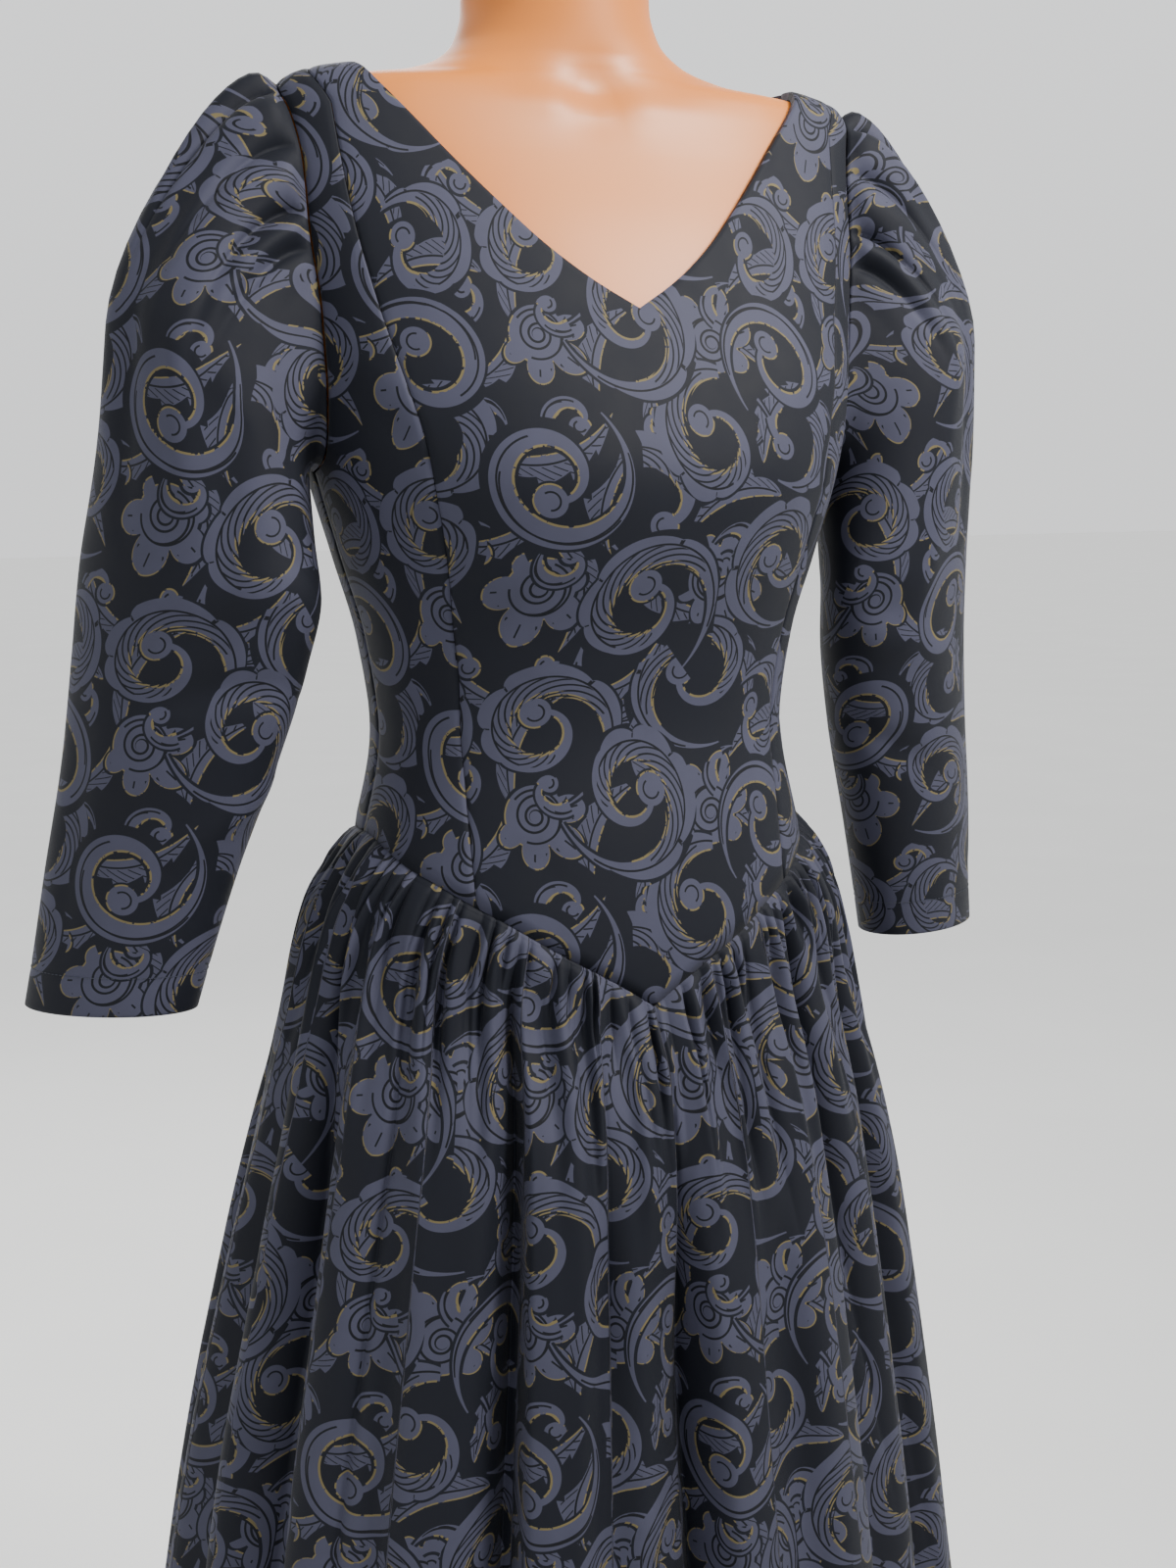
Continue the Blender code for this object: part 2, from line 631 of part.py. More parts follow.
def pleat_lift(angle, share):
    """How far the small pleats of the sleeve head stand off it; share runs from the armhole down."""
    over_top = ease_in((PLEAT_SPREAD - abs(angle)) / 30.0)
    fade = ease_in(share / 0.12) * (1.0 - ease_in((share - 0.15) / 0.75))
    return PLEAT_DEPTH * math.cos(math.radians(angle) * 2 * SLEEVE_PLEATS) * over_top * fade


def build_sleeves(cloth):
    angles = sleeve_angles()
    rows = sleeve_rows(angles)
    normals = row_normals(rows)
    outer = np.array(rows)
    head = len(SLEEVE_HEAD_STEPS)
    for index in range(head):
        for j, angle in enumerate(angles):
            wrapped = (angle + 180.0) % 360.0 - 180.0
            outer[index, j] += pleat_lift(wrapped, SLEEVE_HEAD_STEPS[index]) * normals[index, j]
    inner = outer - CLOTH * normals
    mirror = np.array([-1.0, 1.0, 1.0])
    wall_object("sleeve_left", outer[:, ::-1], inner[:, ::-1], cloth, closed=True)
    wall_object("sleeve_right", outer * mirror, inner * mirror, cloth, closed=True)


# ---- Skirt ---------------------------------------------------------------------------------------

skirt_half_width_at = table_curve(SKIRT_LEVELS, "half_width", "height")
skirt_front_at = table_curve(SKIRT_LEVELS, "front", "height")
skirt_back_at = table_curve(SKIRT_LEVELS, "back", "height")
skirt_middle_at = table_curve(SKIRT_LEVELS, "middle", "height")


def skirt_depth(height, front):
    """The reach of a level section from its widest line."""
    middle = skirt_middle_at(height)
    return skirt_front_at(height) + middle if front else skirt_back_at(height) - middle


def skirt_turn(point):
    """The turn at which a point lies on the skirt's level sections."""
    away = point[1] - skirt_middle_at(point[2])
    return math.atan2(point[0] / skirt_half_width_at(point[2]), -away / skirt_depth(point[2], away < 0))


def skirt_level_point(turn, height):
    depth = skirt_depth(height, math.cos(turn) > 0)
    y = skirt_middle_at(height) - depth * math.cos(turn)
    return np.array([skirt_half_width_at(height) * math.sin(turn), y, height])


def outward(turn, height):
    """The level direction square to the skirt."""
    depth = skirt_depth(height, math.cos(turn) > 0)
    direction = np.array([math.sin(turn) / skirt_half_width_at(height), -math.cos(turn) / depth, 0.0])
    return direction / np.linalg.norm(direction)


def gather_lift(place, drop):
    """The small gathers: place counts them round the waist, drop is the way down from the seam."""
    unevenness = 1.0 + 0.35 * math.sin(place * 1.9) + 0.25 * math.sin(place * 0.73 + 1.0)
    reach = 0.075 + 0.030 * math.sin(place * 0.41)
    rise = SEAM_RIPPLE + (FULL_RIPPLE - SEAM_RIPPLE) * ease_in(drop / 0.022)
    small = rise * (1.0 - ease_in(drop / reach))
    paired = PAIR_RIPPLE * ease_in(drop / 0.05) * (1.0 - ease_in((drop - 0.06) / 0.24))
    wave = small * unevenness * math.cos(2 * math.pi * place)
    return wave + paired * math.cos(math.pi * place + 0.6 * math.sin(place * 0.37))


def fold_sink(turn, drop, share):
    """How deep the large folds draw the skirt in."""
    sink = 0.0
    degrees = math.degrees(turn)
    for fold in FOLDS:
        away = (degrees - fold.turn - fold.drift * share + 180.0) % 360.0 - 180.0
        width = fold.half_width * (0.55 + 0.45 * share)
        grown = ease_in((drop - fold.start) / 0.30) * (0.30 + 0.70 * share)
        sink += fold.depth * grown * math.exp(-(away / width) ** 2)
    return sink


def skirt_point(place, share):
    """A point of the skirt's outer face; place runs 0 to GATHERS round the waist from the back."""
    seam_turn = 360.0 * place / GATHERS - 180.0
    seam = waist_point(seam_turn)
    turn = skirt_turn(seam)
    top = seam[2] - WAIST_DROP
    height = top + (HEM_HEIGHT - top) * share
    drop = top - height
    worn = off_figure(seam, EASE + SKIRT_CLOTH + GATHER_ROOM)
    settle = (worn - skirt_level_point(turn, seam[2])) * (1.0 - ease_in(drop / SETTLE_DROP))
    lift = gather_lift(place, drop) - fold_sink(turn, drop, share)
    point = skirt_level_point(turn, height) + outward(turn, height) * lift
    point[:2] += settle[:2]
    return point, outward(turn, height)


def skirt_piece(name, start, end, material):
    """One skirt panel, between two places round the waist."""
    outer_rows, inner_rows = [], []
    hem_columns = SKIRT_COLUMNS // SKIRT_ROWS[0].columns * (end - start) // GATHERS
    for row in SKIRT_ROWS:
        count = hem_columns * row.columns
        found = [skirt_point(place, row.share) for place in np.linspace(start, end, count + 1)]
        outer = np.array([point for point, _ in found])
        outer[0] += SEAM_TRIM * (outer[1] - outer[0]) / np.linalg.norm(outer[1] - outer[0])
        outer[-1] += SEAM_TRIM * (outer[-2] - outer[-1]) / np.linalg.norm(outer[-2] - outer[-1])
        outer_rows.append(outer)
        inner_rows.append(outer - SKIRT_CLOTH * np.array([normal for _, normal in found]))
    return wall_object(name, outer_rows, inner_rows, material)


def build_skirt(cloth):
    quarter = GATHERS // 4
    skirt_piece("skirt_back_right", 0, quarter, cloth)
    skirt_piece("skirt_front", quarter, 3 * quarter, cloth)
    skirt_piece("skirt_back_left", 3 * quarter, GATHERS, cloth)


# ---- Dress form ----------------------------------------------------------------------------------

def form_heights():
    heights = [ring.height for ring in FORM_RINGS]
    between = [(low + high) / 2 for low, high in zip(heights, heights[1:])
               if low >= FORM_WORN_FROM and high <= FORM_WORN_TO]
    return sorted(heights + between)


def build_torso(shell):
    rings = []
    angles = np.linspace(0.0, 2 * math.pi, FORM_SIDES, endpoint=False)
    for height in form_heights():
        side = float(side_at(height))
        power = 2.0 / float(squareness_at(height))
        points = []
        for angle in angles:
            across, along = math.sin(angle), -math.cos(angle)
            depth = float(back_at(height)) - side if along > 0 else float(front_at(height)) + side
            x = float(half_width_at(height)) * math.copysign(abs(across) ** power, across)
            y = side + depth * math.copysign(abs(along) ** power, along)
            points.append((x, y, height))
        slimmed = off_figure(points, -FORM_SLACK)
        slimmed[:, 2] = height
        rings.append(slimmed)
    verts = np.concatenate(rings)
    faces = []
    for level in range(len(rings) - 1):
        for j in range(FORM_SIDES):
            following = (j + 1) % FORM_SIDES
            low = level * FORM_SIDES
            high = low + FORM_SIDES
            faces.append((low + j, low + following, high + following, high + j))
    faces.append(tuple(reversed(range(FORM_SIDES))))
    faces.append(tuple(range((len(rings) - 1) * FORM_SIDES, len(rings) * FORM_SIDES)))
    mesh_object("form_torso", verts, faces, shell)


def turned_object(name, profile, sides, material):
    """A solid turned round the upright axis. The profile runs from the bottom centre to the top centre."""
    mesh = bpy.data.meshes.new(name)
    shape = bmesh.new()
    corners = [shape.verts.new((radius, 0.0, height)) for radius, height in profile]
    edges = [shape.edges.new(pair) for pair in zip(corners, corners[1:])]
    bmesh.ops.spin(shape, geom=corners + edges, cent=(0, 0, 0), axis=(0, 0, 1), angle=2 * math.pi,
                   steps=sides, use_duplicate=False)
    bmesh.ops.remove_doubles(shape, verts=shape.verts, dist=1e-6)
    bmesh.ops.recalc_face_normals(shape, faces=shape.faces)
    shape.to_mesh(mesh)
    shape.free()
    mesh.shade_smooth()
    mesh.set_sharp_from_angle(angle=math.radians(40))
    return add_object(name, mesh, material)


def build_stand(steel):
    base = ((0.0, 0.0), (BASE_RADIUS, 0.0), (BASE_RADIUS, BASE_EDGE), (BASE_DISH_RADIUS, BASE_DISH_HEIGHT),
            (SOCKET_FOOT_RADIUS, SOCKET_FOOT_HEIGHT), (SOCKET_RADIUS, BASE_HEIGHT), (0.0, BASE_HEIGHT))
    turned_object("form_base", base, 40, steel)
    foot = BASE_HEIGHT + TOUCH_GAP
    top = FORM_RINGS[0].height - TOUCH_GAP
    pole = ((0.0, foot), (POLE_RADIUS, foot), (POLE_RADIUS, top), (0.0, top))
    turned_object("form_pole", pole, 16, steel)


# ---- Centre-back zip -----------------------------------------------------------------------------

def back_frame():
    """Where the zip's slider sits on the cloth, and the ways down along the cloth and out from it."""
    skin = level_point(0.0, ZIP_HEIGHT, 1)
    gradient = figure_gradient(skin)
    out = gradient / np.linalg.norm(gradient)
    down = np.array([0.0, out[2], -out[1]])
    return skin + (EASE + CLOTH) * out, down, out


def placed(points, turned=0.0):
    """Points given as (across, down, out) from the slider's seat, turned in about the zip's pin."""
    seat, down, out = back_frame()
    angle = math.radians(turned)
    found = []
    for across, along, away in points:
        lifted = away - PIN_LIFT
        swung = along * math.cos(angle) + lifted * math.sin(angle)
        risen = lifted * math.cos(angle) - along * math.sin(angle) + PIN_LIFT
        found.append(seat + across * np.array([1.0, 0.0, 0.0]) + swung * down + risen * out)
    return found


def box_points(across, along, away):
    return [(x, y, z) for x in across for y in along for z in away]


BOX_FACES = ((0, 1, 3, 2), (4, 6, 7, 5), (0, 4, 5, 1), (2, 3, 7, 6), (0, 2, 6, 4), (1, 5, 7, 3))


def face_outwards(mesh):
    shape = bmesh.new()
    shape.from_mesh(mesh)
    bmesh.ops.recalc_face_normals(shape, faces=shape.faces)
    shape.to_mesh(mesh)
    shape.free()


def united(name, shapes, material):
    """One solid from several that overlap."""
    parts = []
    for number, (verts, faces) in enumerate(shapes):
        mesh = bpy.data.meshes.new(f"{name}_{number}")
        mesh.from_pydata([tuple(vert) for vert in verts], [], faces)
        face_outwards(mesh)
        thing = bpy.data.objects.new(mesh.name, mesh)
        bpy.context.collection.objects.link(thing)
        parts.append(thing)
    for extra in parts[1:]:
        union = parts[0].modifiers.new("union", "BOOLEAN")
        union.operation = "UNION"
        union.solver = "EXACT"
        union.object = extra
    depsgraph = bpy.context.evaluated_depsgraph_get()
    mesh = bpy.data.meshes.new_from_object(parts[0].evaluated_get(depsgraph))
    for thing in parts:
        bpy.data.objects.remove(thing, do_unlink=True)
    mesh.name = name
    mesh.materials.clear()
    return add_object(name, mesh, material)


def build_slider(metal):
    """The zip's slider: a plate with two ears and the pin that the pull tab hangs on."""
    plate = box_points(
        (-PLATE_HALF_WIDTH, PLATE_HALF_WIDTH), (-PLATE_HALF_LENGTH, PLATE_HALF_LENGTH), (PLATE_LIFT, PLATE_TOP))
    shapes = [(placed(plate), BOX_FACES)]
    for across in ((-PLATE_HALF_WIDTH, -EAR_INSIDE), (EAR_INSIDE, PLATE_HALF_WIDTH)):
        ear = box_points(
            across, (-EAR_HALF_LENGTH, EAR_HALF_LENGTH), (PLATE_TOP - EAR_SINK, PIN_LIFT + EAR_HALF_LENGTH))
        shapes.append((placed(ear), BOX_FACES))
    turns = np.linspace(0.0, 2 * math.pi, PIN_SIDES, endpoint=False)
    ends = []
    for across in (-PIN_HALF_LENGTH, PIN_HALF_LENGTH):
        ends += [(across, PIN_RADIUS * math.cos(t), PIN_LIFT + PIN_RADIUS * math.sin(t)) for t in turns]
    sides = []
    for j in range(PIN_SIDES):
        k = (j + 1) % PIN_SIDES
        sides.append((j, k, PIN_SIDES + k, PIN_SIDES + j))
    caps = [tuple(range(PIN_SIDES)), tuple(reversed(range(PIN_SIDES, 2 * PIN_SIDES)))]
    shapes.append((placed(ends), sides + caps))
    united("zip_slider", shapes, metal)


def build_pull(metal):
    """The pull tab: an eye round the slider's pin and a flat tab that widens towards a rounded end."""
    step = 2 * math.pi / EYE_SIDES
    points = []
    for across in (-TAB_TOP, TAB_TOP):
        for radius in (EYE_INNER, EYE_OUTER):
            for j in range(EYE_SIDES):
                turn = (j - 0.5) * step
                points.append((across, radius * math.cos(turn), PIN_LIFT + radius * math.sin(turn)))
    inner, outer, far = 0, EYE_SIDES, 2 * EYE_SIDES
    faces = []
    for j in range(EYE_SIDES):
        k = (j + 1) % EYE_SIDES
        faces.append((inner + j, inner + k, far + k, far + j))
        faces.append((inner + j, outer + j, outer + k, inner + k))
        faces.append((far + j, far + k, far + outer + k, far + outer + j))
        if j != 0:
            faces.append((outer + j, far + outer + j, far + outer + k, outer + k))
    loop = [outer, outer + 1, far + outer + 1, far + outer]
    half = EYE_OUTER * math.sin(step / 2)
    for row in TAB_ROWS:
        first = len(points)
        for across, side in ((-1, -1), (-1, 1), (1, 1), (1, -1)):
            points.append((across * row.half_width, row.down, PIN_LIFT + side * half))
        new = [first + k for k in range(4)]
        for k in range(4):
            following = (k + 1) % 4
            faces.append((loop[k], loop[following], new[following], new[k]))
        loop = new
    faces.append(tuple(loop))
    pin = placed([(0.0, 0.0, PIN_LIFT)])[0]
    about_pin = [point - pin for point in placed(points, TAB_TURNED_IN)]
    tab = mesh_object("zip_pull", about_pin, faces, metal, smooth=False)
    face_outwards(tab.data)
    tab.location = pin


# ---- Assembly ------------------------------------------------------------------------------------

for old in list(bpy.data.objects):
    bpy.data.objects.remove(old, do_unlink=True)

printed_cotton = make_material("navy_printed_cotton", (0.016, 0.023, 0.033), 0.75)
form_shell = make_material("skin_tone_gloss_plastic", (0.72, 0.43, 0.26), 0.30)
stand_steel = make_material("black_painted_steel", (0.02, 0.02, 0.02), 0.45, 0.2)
zip_metal = make_material("navy_painted_zip_metal", (0.015, 0.020, 0.035), 0.40, 0.3)

build_torso(form_shell)
build_stand(stand_steel)
build_bodice(printed_cotton)
build_sleeves(printed_cotton)
build_skirt(printed_cotton)
build_slider(zip_metal)
build_pull(zip_metal)
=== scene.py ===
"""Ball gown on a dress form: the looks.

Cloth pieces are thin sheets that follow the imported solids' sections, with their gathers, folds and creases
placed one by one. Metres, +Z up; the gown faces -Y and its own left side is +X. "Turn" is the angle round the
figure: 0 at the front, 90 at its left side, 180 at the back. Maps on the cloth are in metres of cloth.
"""
import math
from collections import namedtuple

import bpy
import numpy as np
from mathutils import Matrix, Vector


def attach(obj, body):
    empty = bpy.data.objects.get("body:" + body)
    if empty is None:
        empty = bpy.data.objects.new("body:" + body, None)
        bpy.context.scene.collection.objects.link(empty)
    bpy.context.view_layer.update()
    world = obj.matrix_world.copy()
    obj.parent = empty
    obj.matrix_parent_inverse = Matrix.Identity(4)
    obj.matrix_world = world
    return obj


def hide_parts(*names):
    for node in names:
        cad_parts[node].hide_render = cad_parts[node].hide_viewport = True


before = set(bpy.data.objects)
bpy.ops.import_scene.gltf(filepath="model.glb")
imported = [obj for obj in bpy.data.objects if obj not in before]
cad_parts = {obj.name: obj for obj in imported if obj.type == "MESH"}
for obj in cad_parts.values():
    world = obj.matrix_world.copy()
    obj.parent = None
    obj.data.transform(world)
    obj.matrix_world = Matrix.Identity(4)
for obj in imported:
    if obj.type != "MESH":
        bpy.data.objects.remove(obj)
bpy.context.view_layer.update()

# ---- Sizes, as in the solids ---------------------------------------------------------------------

CLOTH = 0.0015            # the bodice's and sleeves' walls
SKIRT_CLOTH = 0.0018
EASE = 0.0024             # air between the figure's skin and the bodice
SEAM_TRIM = 0.0002
WAIST_DROP = 0.0009
FORM_SLACK = 0.0020       # the form is this much slimmer than the figure
HEM_HEIGHT = 0.045
SHOULDER_TIP_X = 0.1715
SHOULDER_SPLIT_X = 0.1560
NECK_X = 0.1370
PRINCESS_TURN = 46.0
WAIST_SIDE_HEIGHT = 0.989
SHOULDER_CROWDING = 1.55
UNDERARM_HEIGHT = 1.196
GATHERS = 96
GATHER_ROOM = 0.0020
SETTLE_DROP = 0.040

SIDE_ROWS = 26            # rows of the bodice sheets below the underarm
HOLE_ROWS = 44            # and beside the armhole
BODY_ROWS = SIDE_ROWS + HOLE_ROWS
SIDE_FRONT_COLUMNS = 22
STRAP_COLUMNS = 8
FRONT_NECK_COLUMNS = 36
BACK_NECK_COLUMNS = 30
SLEEVE_COLUMNS = 288
COLUMNS_PER_GATHER = 12
TURNING = 0.016           # cloth turned in at the cuffs
EDGE_ROUNDING = 0.0008    # how far a bodice panel's edge bends in before it turns
EDGE_TURNED = 0.0046      # and how far its turned edge reaches, at the neck, the armholes and the seams
WAIST_TURNED = 0.0022     # the same at the waist, over the skirt's seam allowance
SKIRT_CLOTH_ROUND = 2.44  # cloth gathered into the waist

Ring = namedtuple("Ring", "height half_width front back side squareness")
FORM_RINGS = (
    Ring(0.800, 0.1580, 0.096, 0.106, 0.006, 2.0),
    Ring(0.860, 0.1650, 0.101, 0.118, 0.008, 2.0),
    Ring(0.920, 0.1550, 0.102, 0.112, 0.006, 2.1),
    Ring(0.985, 0.1330, 0.097, 0.097, 0.002, 2.2),
    Ring(1.048, 0.1215, 0.090, 0.089, 0.000, 2.2),
    Ring(1.100, 0.1280, 0.097, 0.093, 0.000, 2.2),
    Ring(1.150, 0.1420, 0.114, 0.098, 0.001, 2.2),
    Ring(1.190, 0.1530, 0.121, 0.102, 0.002, 2.3),
    Ring(1.230, 0.1625, 0.112, 0.105, 0.003, 2.4),
    Ring(1.281, 0.1690, 0.0905, 0.105, 0.004, 2.5),
    Ring(1.330, 0.1735, 0.071, 0.098, 0.003, 2.6),
    Ring(1.370, 0.1745, 0.054, 0.087, 0.000, 2.6),
    Ring(1.394, 0.1745, 0.045, 0.078, -0.003, 2.5),
    Ring(1.405, 0.1690, 0.040, 0.072, -0.005, 2.4),
    Ring(1.411, 0.1540, 0.038, 0.069, -0.004, 2.3),
    Ring(1.415, 0.1320, 0.037, 0.068, -0.001, 2.2),
    Ring(1.420, 0.1020, 0.036, 0.068, 0.006, 2.1),
    Ring(1.429, 0.0770, 0.035, 0.070, 0.013, 2.0),
    Ring(1.442, 0.0630, 0.035, 0.073, 0.018, 2.0),
    Ring(1.460, 0.0575, 0.035, 0.075, 0.020, 2.0),
    Ring(1.530, 0.0560, 0.034, 0.076, 0.021, 2.0),
)

Across = namedtuple("Across", "x height")
WAIST_FRONT = (
    Across(0.000, 0.894), Across(0.020, 0.9075), Across(0.045, 0.9225), Across(0.0605, 0.932),
    Across(0.080, 0.945), Across(0.0994, 0.957), Across(0.112, 0.966), Across(0.124, 0.975),
    Across(0.129, 0.982), Across(0.1320, WAIST_SIDE_HEIGHT),
)
WAIST_BACK = (
    Across(0.000, 0.972), Across(0.060, 0.975), Across(0.110, 0.983), Across(0.1320, WAIST_SIDE_HEIGHT),
)
NECK_FRONT = (
    Across(0.000, 1.281), Across(0.025, 1.2965), Across(0.050, 1.3165), Across(0.070, 1.337),
    Across(0.090, 1.3595), Across(0.110, 1.3835), Across(0.126, 1.402),
)
NECK_BACK = (
    Across(0.000, 1.370), Across(0.045, 1.3725), Across(0.080, 1.380), Across(0.107, 1.392),
    Across(0.126, 1.4045),
)
PRINCESS = (
    Across(0.0950, 1.030), Across(0.0966, 1.076), Across(0.1020, 1.114), Across(0.1110, 1.163),
    Across(0.1165, 1.187), Across(0.1220, 1.216), Across(0.1305, 1.250), Across(0.1385, 1.287),
    Across(0.1455, 1.325), Across(0.1495, 1.362), Across(0.1520, 1.392),
)

Beside = namedtuple("Beside", "y height")
ARMHOLE_FRONT = (
    Beside(-0.016, 1.392), Beside(-0.025, 1.363), Beside(-0.031, 1.327), Beside(-0.037, 1.281),
    Beside(-0.038, 1.247), Beside(-0.031, 1.218), Beside(-0.016, 1.201),
)
ARMHOLE_BACK = (
    Beside(0.010, 1.390), Beside(0.022, 1.358), Beside(0.032, 1.318), Beside(0.040, 1.276),
    Beside(0.040, 1.240), Beside(0.032, 1.214), Beside(0.016, 1.200),
)

Cut = namedtuple("Cut", "x y height wide narrow turned slant")
SLEEVE_CUTS = (
    Cut(0.2170, -0.001, 1.232, 0.0530, 0.0490, 30.0, 0.85),
    Cut(0.2210, 0.002, 1.180, 0.0610, 0.0460, 36.0, 0.42),
    Cut(0.2245, 0.007, 1.136, 0.0700, 0.0420, 38.0, 0.16),
    Cut(0.2300, 0.017, 1.090, 0.0685, 0.0410, 36.0, 0.06),
    Cut(0.2400, 0.028, 1.036, 0.0630, 0.0400, 34.0, 0.03),
    Cut(0.2565, 0.043, 0.968, 0.0565, 0.0370, 33.0, 0.02),
    Cut(0.2670, 0.052, 0.920, 0.0530, 0.0350, 33.0, 0.02),
    Cut(0.2735, 0.0575, 0.890, 0.0515, 0.0340, 33.0, 0.02),
)
SLEEVE_HEAD_STEPS = (0.0, 0.03, 0.06, 0.10, 0.14, 0.19, 0.24, 0.30, 0.36, 0.43, 0.50, 0.58, 0.66, 0.75, 0.83, 0.92)

Level = namedtuple("Level", "height half_width front back middle")
SKIRT_LEVELS = (
    Level(0.990, 0.1400, 0.1030, 0.1030, 0.000),
    Level(0.981, 0.1450, 0.1040, 0.1100, 0.000),
    Level(0.972, 0.1500, 0.1050, 0.1160, 0.000),
    Level(0.952, 0.1610, 0.1060, 0.1280, 0.001),
    Level(0.921, 0.1720, 0.1080, 0.1420, 0.002),
    Level(0.891, 0.1800, 0.1130, 0.1530, 0.003),
    Level(0.860, 0.1880, 0.1260, 0.1640, 0.007),
    Level(0.830, 0.1955, 0.1360, 0.1740, 0.010),
    Level(0.767, 0.2105, 0.1480, 0.1920, 0.018),
    Level(0.702, 0.2240, 0.1560, 0.2100, 0.027),
    Level(0.636, 0.2375, 0.1620, 0.2270, 0.035),
    Level(0.570, 0.2495, 0.1680, 0.2420, 0.040),
    Level(0.504, 0.2600, 0.1730, 0.2560, 0.044),
    Level(0.300, 0.2920, 0.1920, 0.2940, 0.050),
    Level(0.040, 0.3300, 0.2180, 0.3380, 0.056),
)
# Troughs of the skirt. Drift is how far round each moves on its way to the hem, start the drop below the
# waist seam where it begins, and lean how much steeper its right flank is than its left one.
Fold = namedtuple("Fold", "turn drift depth half_width start lean")
FOLDS = (
    Fold(-171.0, -1.0, 0.034, 7.5, 0.03, 0.3),
    Fold(-149.0, 1.5, 0.026, 6.0, 0.06, -0.3),
    Fold(-129.0, -1.0, 0.036, 7.5, 0.02, 0.4),
    Fold(-107.0, 2.0, 0.028, 7.0, 0.05, -0.2),
    Fold(-85.0, 3.0, 0.020, 6.0, 0.08, 0.3),
    Fold(-69.0, 7.0, 0.034, 7.0, 0.04, 0.3),
    Fold(-47.0, 2.0, 0.010, 5.0, 0.10, 0.0),
    Fold(-27.5, 2.0, 0.030, 4.5, 0.01, 0.6),
    Fold(-13.0, -1.0, 0.012, 5.0, 0.03, -0.2),
    Fold(-0.5, 4.5, 0.036, 6.0, 0.05, 0.4),
    Fold(17.0, 2.0, 0.010, 5.5, 0.09, 0.2),
    Fold(33.0, 3.0, 0.018, 6.0, 0.01, -0.3),
    Fold(52.0, -2.0, 0.026, 6.5, 0.03, 0.3),
    Fold(73.0, 1.0, 0.030, 7.0, 0.05, 0.4),
    Fold(95.0, -1.5, 0.022, 6.5, 0.07, -0.3),
    Fold(115.0, 1.0, 0.034, 7.5, 0.03, 0.3),
    Fold(138.0, -2.0, 0.028, 6.5, 0.05, -0.4),
    Fold(158.0, 1.0, 0.032, 7.0, 0.02, 0.3),
)


TAU = 2 * math.pi


# ---- Curves --------------------------------------------------------------------------------------

def smooth_curve(places, values):
    """A smooth function through the given values that never overshoots them."""
    places = np.array(places, float)
    values = np.array(values, float)
    steps = np.diff(places)
    slopes = np.diff(values) / steps
    before = 2 * steps[1:] + steps[:-1]
    after = steps[1:] + 2 * steps[:-1]
    same_way = slopes[1:] * slopes[:-1] > 0
    safe_left = np.where(same_way, slopes[:-1], 1.0)
    safe_right = np.where(same_way, slopes[1:], 1.0)
    tangents = np.zeros_like(values)
    mean_slope = (before + after) / (before / safe_left + after / safe_right)
    tangents[1:-1] = np.where(same_way, mean_slope, 0.0)
    tangents[0] = slopes[0]
    tangents[-1] = slopes[-1]

    def value_at(place):
        place = np.clip(place, places[0], places[-1])
        index = np.clip(np.searchsorted(places, place, side="right") - 1, 0, len(steps) - 1)
        t = (place - places[index]) / steps[index]
        rise = steps[index] * (t * (1 - t) ** 2 * tangents[index] + t * t * (t - 1) * tangents[index + 1])
        ease = t * t * (3 - 2 * t)
        return values[index] * (1 - ease) + values[index + 1] * ease + rise

    return value_at


def table_curve(rows, across, along):
    """The column `across` of a table as a smooth function of its column `along`."""
    ordered = sorted(rows, key=lambda row: getattr(row, along))
    places = [getattr(row, along) for row in ordered]
    return smooth_curve(places, [getattr(row, across) for row in ordered])


def spread(points, count, crowding=1.0):
    """`count` + 1 points along a polyline. Crowding above 1 draws them towards its end."""
    points = np.asarray(points, float)
    lengths = np.concatenate([[0.0], np.cumsum(np.linalg.norm(np.diff(points, axis=0), axis=1))])
    wanted = lengths[-1] * (1.0 - np.linspace(1.0, 0.0, count + 1) ** crowding)
    return np.stack([np.interp(wanted, lengths, points[:, axis]) for axis in range(3)], axis=1)


def chain(*curves):
    """Curves end to end, each starting where the one before it stops."""
    return np.concatenate([curves[0]] + [curve[1:] for curve in curves[1:]])


def ease_in(x):
    x = np.clip(x, 0.0, 1.0)
    return x * x * (3 - 2 * x)


def hump(x):
    return np.exp(-x * x)


# ---- The figure ----------------------------------------------------------------------------------

half_width_at = table_curve(FORM_RINGS, "half_width", "height")
front_at = table_curve(FORM_RINGS, "front", "height")
back_at = table_curve(FORM_RINGS, "back", "height")
side_at = table_curve(FORM_RINGS, "side", "height")
squareness_at = table_curve(FORM_RINGS, "squareness", "height")
PROBE = 0.00001


def figure_value(points):
    """Zero on the figure's skin, negative inside it."""
    x, y, z = points[..., 0], points[..., 1], points[..., 2]
    side = side_at(z)
    depth = np.where(y < side, front_at(z) + side, back_at(z) - side)
    power = squareness_at(z)
    return ((np.abs(x) / half_width_at(z)) ** power + (np.abs(y - side) / depth) ** power) ** (1 / power) - 1


def figure_gradient(points):
    steps = PROBE * np.eye(3)
    return np.stack(
        [(figure_value(points + step) - figure_value(points - step)) / (2 * PROBE) for step in steps], axis=-1)


def on_figure(points):
    """The points drawn on to the skin, and the skin's outward directions there."""
    points = np.array(points, float)
    for _ in range(10):
        gradient = figure_gradient(points)
        size = np.linalg.norm(gradient, axis=-1, keepdims=True)
        points -= np.clip(figure_value(points)[..., None] / size, -0.01, 0.01) * gradient / size
    gradient = figure_gradient(points)
    return points, gradient / np.linalg.norm(gradient, axis=-1, keepdims=True)


